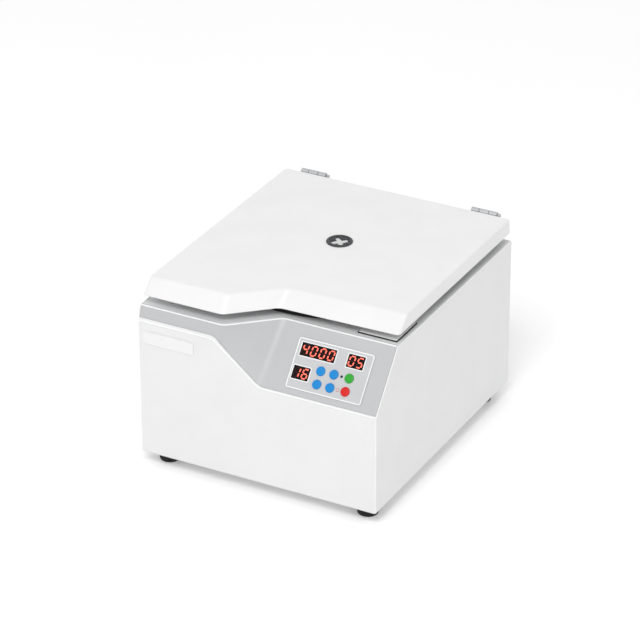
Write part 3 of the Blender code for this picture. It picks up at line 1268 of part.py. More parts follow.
def make_power_inlet():
    """One module: a flange, a body, a three-prong socket below and a rocker's well above."""
    z = CABINET_Z + INLET_H
    face = BACK_Y + GAP + INLET_FLANGE_T
    flange = rounded(rectangle(INLET_FLANGE_TALL, INLET_FLANGE_W, (z, INLET_X)), INLET_R)
    inlet = piece("power_inlet", prism(flange, BACK_Y + GAP, face, ALONG_Y), "black_plastic")
    body = prism(rectangle(INLET_BODY_TALL, INLET_BODY_W, (z, INLET_X)), face - INLET_BODY_DEPTH,
                 face - INLET_FLANGE_T / 2, ALONG_Y)
    combine(inlet, tool("inlet_body_tool", body), "UNION")
    wells = merged([socket_well(z - SOCKET_DOWN, face), rocker_well(z, face)])
    combine(inlet, tool("inlet_well_tool", wells))
    prongs = []
    for x, up in ((-PRONG_SPREAD, -PRONG_RISE / 2), (0, PRONG_RISE / 2), (PRONG_SPREAD, -PRONG_RISE / 2)):
        blade = rectangle(PRONG_W, PRONG_T, (z - SOCKET_DOWN + up, INLET_X + x))
        root = face - SOCKET_DEPTH - INLET_FLANGE_T
        prongs.append(prism(blade, root, root + INLET_FLANGE_T + PRONG_REACH, ALONG_Y))
    combine(inlet, tool("prong_tool", merged(prongs)), "UNION")


def socket_well(z, face):
    """The socket's cavity, with its two upper corners cut off."""
    half = SOCKET_W / 2
    tall = SOCKET_TALL / 2
    corners = [(-tall, -half), (-tall, half), (tall - SOCKET_CHAMFER, half), (tall, half - SOCKET_CHAMFER),
               (tall, SOCKET_CHAMFER - half), (tall - SOCKET_CHAMFER, -half)]
    outline = [(z + up, INLET_X + x) for up, x in corners]
    return prism(outline, face - SOCKET_DEPTH, face + OVERRUN, ALONG_Y)


def rocker_well(z, face):
    reach = ROCKER_REACH + GAP
    well = rectangle(2 * reach, ROCKER_W + 2 * GAP, (z + ROCKER_UP, INLET_X))
    return prism(well, face - ROCKER_CAVITY, face + OVERRUN, ALONG_Y)


def make_power_rocker():
    """The switch's rocker: a dished face, ends that clear the well, and a round belly."""
    face_y = BACK_Y + GAP + INLET_FLANGE_T
    lean = pivot("rocker_pivot", (INLET_X, face_y - ROCKER_PIVOT_SINK, CABINET_Z + INLET_H + ROCKER_UP),
                 turn=(ROCKER_TILT, 0, 0))
    tip = math.sqrt(ROCKER_REACH ** 2 - ROCKER_FACE ** 2)
    outline = [(ROCKER_FACE, -tip), (ROCKER_FACE - ROCKER_DISH, 0), (ROCKER_FACE, tip), (0, ROCKER_REACH),
               (-ROCKER_BELLY / 2, ROCKER_BELLY), (-ROCKER_BELLY, 0), (-ROCKER_BELLY / 2, -ROCKER_BELLY),
               (0, -ROCKER_REACH)]
    piece("power_rocker", prism(outline, -ROCKER_W / 2, ROCKER_W / 2, ALONG_X), "black_plastic", lean)


def make_centrifuge():
    clear_scene()
    make_cabinet_wrap()
    make_base_plate()
    make_rear_panel()
    make_top_deck()
    make_control_face()
    make_name_plate()
    make_feet()
    make_chamber_bowl()
    make_bowl_boot()
    make_lid_seal()
    make_motor()
    spin = pivot("rotor_axis", (0, CHAMBER_Y, 0))
    make_drive_shaft(spin)
    make_rotor(spin)
    make_buckets(spin)
    hang = pivot("lid_axis", (0, HINGE_Y, HINGE_Z))
    make_lid_shell(hang)
    make_lid_liner(hang)
    make_port(hang)
    make_hinge("left", -HINGE_X, hang)
    make_hinge("right", HINGE_X, hang)
    make_lock()
    make_striker(hang)
    make_power_inlet()
    make_power_rocker()


make_centrifuge()
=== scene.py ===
"""Looks of the bench centrifuge: finishes, rounded edges, digits, prints, screws and light."""
import json
import math

import bmesh
import bpy
from mathutils import Matrix, Vector

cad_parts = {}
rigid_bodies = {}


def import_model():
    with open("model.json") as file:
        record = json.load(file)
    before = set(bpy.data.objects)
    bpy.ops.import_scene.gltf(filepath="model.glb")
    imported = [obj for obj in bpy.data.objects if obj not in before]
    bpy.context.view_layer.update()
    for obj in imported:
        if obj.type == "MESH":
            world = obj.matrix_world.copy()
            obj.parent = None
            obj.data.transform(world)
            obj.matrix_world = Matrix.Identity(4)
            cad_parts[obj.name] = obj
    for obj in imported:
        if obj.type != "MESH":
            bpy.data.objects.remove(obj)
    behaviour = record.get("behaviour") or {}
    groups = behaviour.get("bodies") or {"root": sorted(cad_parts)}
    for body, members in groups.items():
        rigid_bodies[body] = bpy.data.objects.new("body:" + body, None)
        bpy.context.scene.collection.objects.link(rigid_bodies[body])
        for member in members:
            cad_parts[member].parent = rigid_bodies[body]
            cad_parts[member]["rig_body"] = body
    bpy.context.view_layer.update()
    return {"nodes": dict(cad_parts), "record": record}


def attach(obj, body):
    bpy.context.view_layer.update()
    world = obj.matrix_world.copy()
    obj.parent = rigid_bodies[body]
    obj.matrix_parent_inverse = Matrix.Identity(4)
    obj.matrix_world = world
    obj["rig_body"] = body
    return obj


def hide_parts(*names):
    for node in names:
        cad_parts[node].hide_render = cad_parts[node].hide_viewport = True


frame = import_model()

# Camera, as far from the machine as the photograph's
CAMERA_PLACE = (1.88468, -3.55462, 2.31532)
CAMERA_YAW = 28.1228
CAMERA_TILT = 61.9099
CAMERA_ROLL = -0.1118
CAMERA_LENS = 186.5
CAMERA_REACH = 50

# Light, and the floor that it falls on
KEY_PLACE = (0.60, -2.6, 3.55)
KEY_AIM = (0, 0, 0.15)
KEY_SIZE = 1.6
KEY_POWER = 58
SKY_LEVEL = 0.70
FLOOR_LIFT = 0.17
FLOOR_WHITE = 0.985
FLOOR_ROUGH = 0.9
FLOOR_HALF = 6

# Finishes: the scales of the noise in the colour, in the roughness and in the relief
PAINT_PATCH, PAINT_FLECK, PAINT_PEEL = 18, 240, 900
PLASTIC_PATCH, PLASTIC_FLECK, PLASTIC_GRAIN = 60, 500, 2200
RUBBER_PATCH, RUBBER_FLECK, RUBBER_GRAIN = 90, 300, 1500
METAL_PATCH, METAL_FLECK, METAL_GRAIN = 40, 260, 600
SPUN_PATCH, SPUN_LINES = 30, 1400
PANE_PATCH, PANE_HAZE = 120, 80
LIT_PATCH = 400
FLOOR_PATCH = 2

# Finishes: how far the colour wanders, as a share of itself, and the part of the noise it uses
PAINT_WANDER = 0.012
PLASTIC_WANDER = 0.02
RUBBER_WANDER = 0.2
METAL_WANDER = 0.05
SPUN_WANDER = 0.04
PANE_WANDER = 0.05
LIT_WANDER = 0.05
FLOOR_WANDER = 0.004
MOTTLE_BAND = (0.35, 0.65)

# Finishes: how far the roughness swings below and above its level, or its two ends themselves
PAINT_SWING = (0.04, 0.05)
PLASTIC_SWING = (0.05, 0.05)
METAL_SWING = (0.08, 0.1)
SPUN_SWING = (0.06, 0.1)
RUBBER_ROUGH = (0.62, 0.8)
PANE_ROUGH = (0.03, 0.09)
LIT_ROUGH = 0.5

# Finishes: gloss, the clear coat on paint, and the colours that one finish only has
PAINT_SHINE = 0.4
PAINT_COAT, PAINT_COAT_ROUGH = 0.12, 0.2
PLASTIC_SHINE = 0.5
RUBBER_SHINE = 0.3
PANE_SHINE = 0.5
LIT_SHINE = 0.1
RUBBER_BLACK = (0.012, 0.012, 0.013)
PANE_TINT, PANE_ALPHA = (0.30, 0.34, 0.35), 0.08

# Finishes: depth of the relief, and the radius over which an edge catches the light
PEEL_DEEP = 0.000012
PLASTIC_DEEP = 0.00001
RUBBER_DEEP = 0.00003
METAL_DEEP = 0.00001
SPUN_DEEP = 0.000012
PAINT_SOFT = 0.0008
PLASTIC_SOFT = 0.0004
RUBBER_SOFT = 0.0005
METAL_SOFT = 0.0004
SOFT_SAMPLES = 6

# Cabinet's front and back faces, and the rotor's axis
FRONT_Y = -0.21005
BACK_Y = 0.19995
AXIS_Y = 0.02895

# The fascia's two lines, on the front face and on the deck, and the bends in them
LOW_LINE = ((-0.1776, -0.2099, 0.2221), (-0.0648, -0.2099, 0.2221),
            (0.0045, -0.2099, 0.1657), (0.1776, -0.2099, 0.1657))
RIM_LINE = ((-0.1776, -0.2029, 0.2428), (-0.0513, -0.2029, 0.2428),
            (0.0097, -0.1478, 0.2428), (0.1776, -0.1478, 0.2428))
LINE_BEND = 0.020
LINE_STEPS = 10

# Top edges of the cabinet's sides, and its front corners
SIDE_LINES = (
    ((0.1792, -0.2093, 0.1659), (0.1792, -0.1477, 0.2427), (0.1792, 0.1994, 0.2427)),
    ((-0.1792, -0.2093, 0.2223), (-0.1792, -0.2027, 0.2427), (-0.1792, 0.1994, 0.2427)),
)
CORNER_LINES = (
    ((0.1789, -0.2090, 0.0217), (0.1789, -0.2090, 0.1659)),
    ((-0.1789, -0.2090, 0.0217), (-0.1789, -0.2090, 0.2223)),
)

# Hems: beads along the edges in a paint whiter than the cabinet's, as painted highlight; the
# radius of those on the cabinet and of those on the fascia's lines
HEM_R = 0.0008
LINE_R = 0.0012
HEM_STEPS = 3

# Control face: its lower edge on the front, its slope, and the levels of what lies on it
FACE_PLACE = (0, FRONT_Y, 0.1657)
FACE_SLOPE = 51.22
FILM_TOP = 0.0011
GLASS_TOP = 0.0008
PRINT_T = 0.00006

# Displays: name, figures, width and middle of each window; the film round them and its lines
DISPLAYS = (
    ("speed", "4000", 0.0511, (0.0730, 0.0656)),
    ("time", "05", 0.0242, (0.1288, 0.0656)),
    ("program", "16", 0.0242, (0.0575, 0.0334)),
)
DISPLAY_TALL = 0.0175
FRAME_GAP = 0.0003
FRAME_WIDE = 0.0013
FILM_MIDDLE = (0.097, 0.0458)
FILM_SIZE = (0.112, 0.0695)
BORDER_IN = 0.0001
BORDER_WIDE = 0.0015
FILM_CORNER = 0.0030
CORNER_STEPS = 5

# Keys and indicator lenses on the control face
KEY_UPPER = 0.0423
KEY_LOWER = 0.0240
KEYS = (
    ("key_up", 0.0845, KEY_UPPER), ("key_right", 0.1040, KEY_UPPER),
    ("key_start", 0.1267, KEY_UPPER), ("key_down", 0.0845, KEY_LOWER),
    ("key_left", 0.1040, KEY_LOWER), ("key_stop", 0.1267, KEY_LOWER),
)
KEY_PROFILE = (
    (0, -0.0062), (0.0020, -0.0062), (0.0020, -0.0033), (0.0074, -0.0033), (0.0074, -0.0023),
    (0.0064, -0.0023), (0.0064, 0.0019), (0.0062, 0.00225), (0.0058, 0.0025), (0.0044, 0.00263),
    (0.0022, 0.0027), (0, 0.00272),
)
LENS_X = 0.1154
LENS_PROFILE = ((0, -0.0072), (0.0017, -0.0072), (0.0017, 0.0009), (0.0015, 0.0013),
                (0.0008, 0.0015), (0, 0.00155))
LENS_RING_R = 0.0023
LENS_CLEAR_R = 0.0019

# Digits of seven bars: their size and lean, and the bars that each figure lights
DIGIT_TALL = 0.0146
DIGIT_WIDE = 0.0088
BAR_THICK = 0.0017
BAR_GAP = 0.0002
DIGIT_LEAN = 8
BARS = {"0": "abcdef", "1": "bc", "4": "fgbc", "5": "afgcd", "6": "afgecd"}

# Port in the lid, and the feet
PORT_PROFILE = (
    (0.0120, 0.2587), (0.0152, 0.2587), (0.0152, 0.2763), (0.0185, 0.2763), (0.0185, 0.2766),
    (0.0181, 0.2772), (0.0174, 0.2777), (0.0166, 0.2778), (0.0141, 0.2778), (0.0141, 0.2757),
    (0.0120, 0.2757),
)
WINDOW_PROFILE = ((0, 0.2760), (0.0138, 0.2760), (0.0138, 0.2774), (0.0136, 0.2776), (0, 0.2776))
FEET = (("foot_front_left", -0.153, -0.17945), ("foot_front_right", 0.153, -0.17945),
        ("foot_rear_left", -0.153, 0.16935), ("foot_rear_right", 0.153, 0.16935))
FOOT_SEAT_Z = 0.0070
FOOT_PROFILE = (
    (0.0062, 0), (0.0130, 0), (0.0139, 0.0004), (0.0145, 0.0015), (0.0165, 0.0170),
    (0.0163, 0.0180), (0.0150, 0.0185), (0.0026, 0.0185), (0.0026, FOOT_SEAT_Z),
    (0.0062, FOOT_SEAT_Z),
)

# Screw heads: radius and height, and the cross recess as shares of these
PANEL_SCREW = (0.0034, 0.0018)
HINGE_SCREW = (0.0026, 0.0011)
FOOT_SCREW = (0.0050, 0.0024)
SCREW_STEPS = 24
SCREW_ROUND, SCREW_ROUND_STEPS = 0.45, 3
CROSS_CORNERS = 12
CROSS_REACH, CROSS_WAIST, CROSS_DEEP = 0.52, 0.11, 0.7
SCREW_TURN = 37
PANEL_SCREW_PLACES = ((-0.1700, 0.0300), (-0.1700, 0.1310), (-0.1700, 0.2330), (0.1700, 0.0300),
                      (0.1700, 0.1310), (0.1700, 0.2330), (0, 0.2330), (0, 0.0300))
HINGE_X = 0.1346
HINGE_SCREW_SPREAD = 0.0130
HINGE_SCREW_Z = (0.2150, 0.2250)
LEAF_BACK_Y = 0.20205

# Power switch: its pivot, its tilt at rest, and the slope and the middle level of its face
ROCKER_PIVOT = (0.115, 0.19985, 0.1052)
ROCKER_TILT = 7
ROCKER_RISE, ROCKER_RUN = 0.0014, 0.0086
ROCKER_LEVEL = 0.0018
MARK_UP = 0.0046
MARK_RING_R, MARK_LINE = 0.0017, 0.0005
MARK_BAR = (0.0006, 0.0034)

# Shaping
MERGE = 0.000001
FLAT_ANGLE = 0.05
SMOOTH_ANGLE = 35
ROUND_ANGLE = 40
EDGE_STEPS = 2
TURN_STEPS = 48
MOUTH_STEPS = 120

# How far each copied node's edges are rounded; at nought they keep the CAD's own edges
ROUNDED = {
    0.0006: ("cabinet_wrap", "lid_shell", "front_fascia", "rotor_yoke"),
    0.0004: ("base_plate", "top_deck", "lid_liner", "lock_cover", "name_plate",
             "lock_cover_seal", "lock_case", "motor_plate", "lid_striker", "lock_bolt",
             "power_rocker", "port_star", "hinge_cabinet_leaf_left", "hinge_cabinet_leaf_right",
             "hinge_lid_leaf_left", "hinge_lid_leaf_right", "hinge_pin_left", "hinge_pin_right",
             "rotor_nut", "drive_shaft", "bucket_1", "bucket_2", "bucket_3", "bucket_4",
             "tube_sleeve_1", "tube_sleeve_2", "tube_sleeve_3", "tube_sleeve_4"),
    0: ("keypad_overlay", "power_inlet", "rear_panel", "bowl_boot", "motor_case",
        "motor_damper_1", "motor_damper_2", "motor_damper_3"),
}


def shader_of(name):
    """A new material and its main shader."""
    material = bpy.data.materials.new(name)
    material.use_nodes = True
    return material, material.node_tree.nodes["Principled BSDF"]


def add(material, kind, **values):
    """A node of a kind, with its named sockets and settings filled."""
    node = material.node_tree.nodes.new(kind)
    for key, value in values.items():
        if key in node.inputs:
            node.inputs[key].default_value = value
        else:
            setattr(node, key, value)
    return node


def link(material, source, target):
    """Joins an output of one node to an input of another."""
    material.node_tree.links.new(source, target)


def grain(material, scale, detail=4.0):
    """Noise over the piece's own coordinates."""
    place = add(material, "ShaderNodeTexCoord")
    noise = add(material, "ShaderNodeTexNoise", Scale=scale, Detail=detail)
    link(material, place.outputs["Object"], noise.inputs["Vector"])
    return noise.outputs["Fac"]


def spread_over(material, value, low, high, target):
    """Carries a noise value into a socket between two levels."""
    span = add(material, "ShaderNodeMapRange")
    span.inputs["To Min"].default_value = low
    span.inputs["To Max"].default_value = high
    link(material, value, span.inputs["Value"])
    link(material, span.outputs["Result"], target)


def mottled(material, shader, colour, amount, scale):
    """Colour that wanders a little from place to place, as any finish does."""
    value = grain(material, scale, 3.0)
    ramp = add(material, "ShaderNodeValToRGB")
    low, high = ramp.color_ramp.elements
    low.position, high.position = MOTTLE_BAND
    low.color = (*[channel * (1 - amount) for channel in colour], 1)
    high.color = (*[min(1, channel * (1 + amount)) for channel in colour], 1)
    link(material, value, ramp.inputs["Fac"])
    link(material, ramp.outputs["Color"], shader.inputs["Base Color"])


def relief(material, shader, scale, depth, soft=0.0):
    """Fine relief in the surface, over edges that catch the light as if rounded."""
    bump = add(material, "ShaderNodeBump", Strength=1.0, Distance=depth)
    link(material, grain(material, scale, 3.0), bump.inputs["Height"])
    if soft:
        edge = add(material, "ShaderNodeBevel", samples=SOFT_SAMPLES, Radius=soft)
        link(material, edge.outputs["Normal"], bump.inputs["Normal"])
    link(material, bump.outputs["Normal"], shader.inputs["Normal"])


def vary_roughness(material, shader, value, rough, swing):
    """A roughness that wanders round its middle level."""
    spread_over(material, value, rough - swing[0], rough + swing[1], shader.inputs["Roughness"])


def paint(name, colour, rough, soft=PAINT_SOFT):
    """Powder coat: satin, with a faint orange peel."""
    material, shader = shader_of(name)
    mottled(material, shader, colour, PAINT_WANDER, PAINT_PATCH)
    vary_roughness(material, shader, grain(material, PAINT_FLECK), rough, PAINT_SWING)
    relief(material, shader, PAINT_PEEL, PEEL_DEEP, soft)
    shader.inputs["Specular IOR Level"].default_value = PAINT_SHINE
    shader.inputs["Coat Weight"].default_value = PAINT_COAT
    shader.inputs["Coat Roughness"].default_value = PAINT_COAT_ROUGH
    return material


def plastic(name, colour, rough, depth=PLASTIC_DEEP, soft=PLASTIC_SOFT, shine=PLASTIC_SHINE,
            wander=PLASTIC_WANDER):
    """Moulded plastic with a fine texture."""
    material, shader = shader_of(name)
    mottled(material, shader, colour, wander, PLASTIC_PATCH)
    vary_roughness(material, shader, grain(material, PLASTIC_FLECK), rough, PLASTIC_SWING)
    relief(material, shader, PLASTIC_GRAIN, depth, soft)
    shader.inputs["Specular IOR Level"].default_value = shine
    return material


def rubber(name):
    """Matt black rubber."""
    material, shader = shader_of(name)
    mottled(material, shader, RUBBER_BLACK, RUBBER_WANDER, RUBBER_PATCH)
    spread_over(material, grain(material, RUBBER_FLECK), *RUBBER_ROUGH, shader.inputs["Roughness"])
    relief(material, shader, RUBBER_GRAIN, RUBBER_DEEP, RUBBER_SOFT)
    shader.inputs["Specular IOR Level"].default_value = RUBBER_SHINE
    return material


def metal(name, colour, rough, depth=METAL_DEEP, scale=METAL_GRAIN):
    """Bare metal with a fine grain."""
    material, shader = shader_of(name)
    shader.inputs["Metallic"].default_value = 1.0
    mottled(material, shader, colour, METAL_WANDER, METAL_PATCH)
    vary_roughness(material, shader, grain(material, METAL_FLECK), rough, METAL_SWING)
    relief(material, shader, scale, depth, METAL_SOFT)
    return material


def spun_metal(name, colour, rough):
    """Stainless sheet drawn round the rotor's axis, with its fine lines running round it too."""
    material, shader = shader_of(name)
    shader.inputs["Metallic"].default_value = 1.0
    place = add(material, "ShaderNodeTexCoord")
    shift = add(material, "ShaderNodeMapping", Location=(0, -AXIS_Y, 0))
    parts = add(material, "ShaderNodeSeparateXYZ")
    flat = add(material, "ShaderNodeCombineXYZ")
    reach = add(material, "ShaderNodeVectorMath", operation="LENGTH")
    round_axis = add(material, "ShaderNodeCombineXYZ")
    noise = add(material, "ShaderNodeTexNoise", Scale=SPUN_LINES, Detail=3.0)
    link(material, place.outputs["Object"], shift.inputs["Vector"])
    link(material, shift.outputs["Vector"], parts.inputs["Vector"])
    link(material, parts.outputs["X"], flat.inputs["X"])
    link(material, parts.outputs["Y"], flat.inputs["Y"])
    link(material, flat.outputs["Vector"], reach.inputs[0])
    link(material, reach.outputs["Value"], round_axis.inputs["X"])
    link(material, parts.outputs["Z"], round_axis.inputs["Z"])
    link(material, round_axis.outputs["Vector"], noise.inputs["Vector"])
    bump = add(material, "ShaderNodeBump", Strength=1.0, Distance=SPUN_DEEP)
    link(material, noise.outputs["Fac"], bump.inputs["Height"])
    link(material, bump.outputs["Normal"], shader.inputs["Normal"])
    mottled(material, shader, colour, SPUN_WANDER, SPUN_PATCH)
    vary_roughness(material, shader, noise.outputs["Fac"], rough, SPUN_SWING)
    return material


def clear_plastic(name):
    """A thin clear pane: mostly see-through, with a sheen and faint haze."""
    material, shader = shader_of(name)
    mottled(material, shader, PANE_TINT, PANE_WANDER, PANE_PATCH)
    shader.inputs["Alpha"].default_value = PANE_ALPHA
    shader.inputs["Specular IOR Level"].default_value = PANE_SHINE
    spread_over(material, grain(material, PANE_HAZE), *PANE_ROUGH, shader.inputs["Roughness"])
    return material


def glow(name, colour, strength):
    """A lit bar of a digit."""
    material, shader = shader_of(name)
    mottled(material, shader, colour, LIT_WANDER, LIT_PATCH)
    shader.inputs["Roughness"].default_value = LIT_ROUGH
    shader.inputs["Specular IOR Level"].default_value = LIT_SHINE
    shader.inputs["Emission Color"].default_value = (*colour, 1)
    shader.inputs["Emission Strength"].default_value = strength
    return material


def new_piece(name, form, material, body):
    """Makes a finished mesh a piece of the object that moves with a body."""
    mesh = bpy.data.meshes.new(name)
    form.to_mesh(mesh)
    form.free()
    mesh.materials.append(material)
    mesh.shade_smooth()
    mesh.set_sharp_from_angle(angle=math.radians(SMOOTH_ANGLE))
    piece = bpy.data.objects.new(name, mesh)
    bpy.context.scene.collection.objects.link(piece)
    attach(piece, body)
    return piece


def stands_for(node, form, finishes):
    """A finished piece in a CAD node's place, on its body and with its finish."""
    entry = next(entry for entry in frame["record"]["subparts"] if entry["node"] == node)
    slot = entry["material_slot"]
    body = frame["nodes"][node]["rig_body"]
    piece = new_piece(node + "_finished", form, finishes[slot], body)
    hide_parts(node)
    return piece


def softened(node, finishes, width):
    """A merged copy of a CAD node with smooth bends, and rounded edges if it has a width."""
    form = bmesh.new()
    form.from_mesh(frame["nodes"][node].data)
    bmesh.ops.remove_doubles(form, verts=form.verts, dist=MERGE)
    if width:
        bmesh.ops.dissolve_limit(form, angle_limit=math.radians(FLAT_ANGLE),
                                 use_dissolve_boundaries=False, verts=form.verts, edges=form.edges)
    piece = stands_for(node, form, finishes)
    if "custom_normal" in piece.data.attributes:
        piece.data.attributes.remove(piece.data.attributes["custom_normal"])
    if width:
        rounding = piece.modifiers.new("rounded_edges", "BEVEL")
        rounding.limit_method = "ANGLE"
        rounding.angle_limit = math.radians(ROUND_ANGLE)
        rounding.width = width
        rounding.segments = EDGE_STEPS
        rounding.profile = 0.5
        rounding.miter_outer = "MITER_ARC"
    steady = piece.modifiers.new("flat_faces", "WEIGHTED_NORMAL")
    steady.keep_sharp = True


def turned(profile, place, steps=TURN_STEPS):
    """A profile of radii and heights spun round the Z axis of a place."""
    form = bmesh.new()
    verts = [form.verts.new((radius, 0, height)) for radius, height in profile]
    pairs = list(zip(verts, verts[1:]))
    if profile[0][0] and profile[-1][0]:
        pairs.append((verts[-1], verts[0]))
    edges = [form.edges.new(pair) for pair in pairs]
    bmesh.ops.spin(form, geom=verts + edges, cent=(0, 0, 0), axis=(0, 0, 1), angle=math.tau,
                   steps=steps, use_merge=True)
    bmesh.ops.remove_doubles(form, verts=form.verts, dist=MERGE)
    bmesh.ops.recalc_face_normals(form, faces=form.faces)
    bmesh.ops.transform(form, matrix=place, verts=form.verts)
    return form


def profile_of(node):
    """The closed outline, in radii and heights, of a ring turned round the rotor's axis."""
    form = bmesh.new()
    form.from_mesh(frame["nodes"][node].data)
    bmesh.ops.remove_doubles(form, verts=form.verts, dist=MERGE)
    cut = {vert for vert in form.verts if abs(vert.co.y - AXIS_Y) < MERGE and vert.co.x > 0}
    first = min(cut, key=lambda vert: (vert.co.z, vert.co.x))
    outline = [first]
    while True:
        near = [edge.other_vert(outline[-1]) for edge in outline[-1].link_edges]
        ahead = [vert for vert in near if vert in cut and vert not in outline]
        if not ahead:
            break
        outline.append(ahead[0])
    profile = [(vert.co.x, vert.co.z) for vert in outline]
    form.free()
    return profile


def make_round_mouth(finishes):
    """The bowl and the seal round its mouth, spun again from the CAD's outlines in finer steps."""
    for node in ("chamber_bowl", "lid_seal"):
        form = turned(profile_of(node), Matrix.Translation((0, AXIS_Y, 0)), MOUTH_STEPS)
        stands_for(node, form, finishes)


def on_face(x, up, out):
    """A place on the control face, as a matrix whose Z axis leaves the face."""
    turn = Matrix.Translation(FACE_PLACE) @ Matrix.Rotation(math.radians(FACE_SLOPE), 4, "X")
    return turn @ Matrix.Translation((x, up, out))


def thicken(form):
    """Raises flat faces into a closed solid as thin as print."""
    raised = bmesh.ops.extrude_face_region(form, geom=form.faces[:])
    top = [item for item in raised["geom"] if isinstance(item, bmesh.types.BMVert)]
    bmesh.ops.translate(form, vec=(0, 0, PRINT_T), verts=top)
    bmesh.ops.recalc_face_normals(form, faces=form.faces)


def printed_frame(width, height, radius, line, place):
    """A printed line that runs round a rectangle, inside its edge."""
    form = bmesh.new()
    bmesh.ops.create_grid(form, x_segments=1, y_segments=1, size=0.5)
    bmesh.ops.scale(form, vec=(width, height, 1), verts=form.verts)
    bmesh.ops.bevel(form, geom=form.verts[:], offset=radius, segments=CORNER_STEPS, profile=0.5,
                    affect="VERTICES", material=-1)
    middle = form.faces[:]
    bmesh.ops.inset_individual(form, faces=middle, thickness=line, use_even_offset=True)
    bmesh.ops.delete(form, geom=middle, context="FACES_ONLY")
    thicken(form)
    bmesh.ops.transform(form, matrix=place, verts=form.verts)
    return form


def printed_ring(outer, line, place):
    """A printed circle."""
    form = bmesh.new()
    bmesh.ops.create_circle(form, cap_ends=True, cap_tris=False, segments=TURN_STEPS,
                            radius=outer)
    middle = form.faces[:]
    bmesh.ops.inset_individual(form, faces=middle, thickness=line, use_even_offset=True)
    bmesh.ops.delete(form, geom=middle, context="FACES_ONLY")
    thicken(form)
    bmesh.ops.transform(form, matrix=place, verts=form.verts)
    return form


def make_digit(name, figure, middle, lit, unlit):
    """Seven bars, the lit ones as one piece and the dark ones as another."""
    across = DIGIT_WIDE - BAR_THICK
    half = (DIGIT_TALL - BAR_THICK) / 2
    bars = {
        "a": ((0, half), 0), "g": ((0, 0), 0), "d": ((0, -half), 0),
        "f": ((-across / 2, half / 2), 90), "b": ((across / 2, half / 2), 90),
        "e": ((-across / 2, -half / 2), 90), "c": ((across / 2, -half / 2), 90),
    }
    lean = Matrix.Identity(4)
    lean[0][1] = math.tan(math.radians(DIGIT_LEAN))
    for state, material in (("lit", lit), ("dark", unlit)):
        form = bmesh.new()
        for key, (place, turn) in bars.items():
            if (key in BARS[figure]) != (state == "lit"):
                continue
            length = (half if turn else across) - 2 * BAR_GAP - BAR_THICK
            lay = Matrix.Translation((*place, 0)) @ Matrix.Rotation(math.radians(turn), 4, "Z")
            bar = bmesh.ops.create_grid(form, x_segments=1, y_segments=1, size=0.5)["verts"]
            bmesh.ops.scale(form, vec=(length, BAR_THICK, 1), verts=bar)
            bmesh.ops.transform(form, matrix=lay, verts=bar)
        thicken(form)
        bmesh.ops.transform(form, matrix=on_face(*middle, GLASS_TOP) @ lean, verts=form.verts)
        new_piece(name + "_" + state, form, material, "cabinet")


def make_displays(lit, unlit, white):
    """The digits, and the white lines printed on the film round each window and its own edge."""
    for name, figures, width, (x, up) in DISPLAYS:
        pitch = width / len(figures)
        for index, figure in enumerate(figures):
            place = (x - width / 2 + pitch * (index + 0.5), up)
            make_digit("digit_" + name + "_" + str(index + 1), figure, place, lit, unlit)
        grow = 2 * (FRAME_GAP + FRAME_WIDE)
        form = printed_frame(width + grow, DISPLAY_TALL + grow, FRAME_WIDE + FRAME_GAP,
                             FRAME_WIDE, on_face(x, up, FILM_TOP))
        new_piece("frame_" + name, form, white, "cabinet")
    wide, tall = (side - 2 * BORDER_IN for side in FILM_SIZE)
    form = printed_frame(wide, tall, FILM_CORNER, BORDER_WIDE, on_face(*FILM_MIDDLE, FILM_TOP))
    new_piece("film_border", form, white, "cabinet")


def make_keys(finishes, red):
    """Domed keys, two indicator lenses, and a red circle printed at the lower lens."""
    for node, x, up in KEYS:
        stands_for(node, turned(KEY_PROFILE, on_face(x, up, 0)), finishes)
    stands_for("indicator_run", turned(LENS_PROFILE, on_face(LENS_X, KEY_UPPER, 0)), finishes)
    stands_for("indicator_lid", turned(LENS_PROFILE, on_face(LENS_X, KEY_LOWER, 0)),
               {**finishes, "indicator_dark": finishes["indicator_pale"]})
    ring = printed_ring(LENS_RING_R, LENS_RING_R - LENS_CLEAR_R,
                        on_face(LENS_X, KEY_LOWER, FILM_TOP))
    new_piece("indicator_lid_ring", ring, red, "cabinet")


def make_port_and_feet(finishes):
    """The port's ring and window, and the four feet."""
    axis = Matrix.Translation((0, AXIS_Y, 0))
    stands_for("port_ring", turned(PORT_PROFILE, axis), finishes)
    stands_for("port_window", turned(WINDOW_PROFILE, axis), finishes)
    for node, x, y in FEET:
        stands_for(node, turned(FOOT_PROFILE, Matrix.Translation((x, y, 0))), finishes)


def filleted(corners, radius):
    """A path whose inner corners are arcs."""
    path = [Vector(corners[0])]
    for before, corner, after in zip(corners, corners[1:], corners[2:]):
        middle = Vector(corner)
        towards = (Vector(before) - middle).normalized()
        away = (Vector(after) - middle).normalized()
        half = towards.angle(away) / 2
        bisector = (towards + away).normalized()
        centre = middle + bisector * (radius / math.sin(half))
        start = middle + towards * (radius / math.tan(half)) - centre
        end = middle + away * (radius / math.tan(half)) - centre
        for step in range(LINE_STEPS + 1):
            spoke = start.lerp(end, step / LINE_STEPS).normalized() * radius
            path.append(centre + spoke)
    return path + [Vector(corners[-1])]


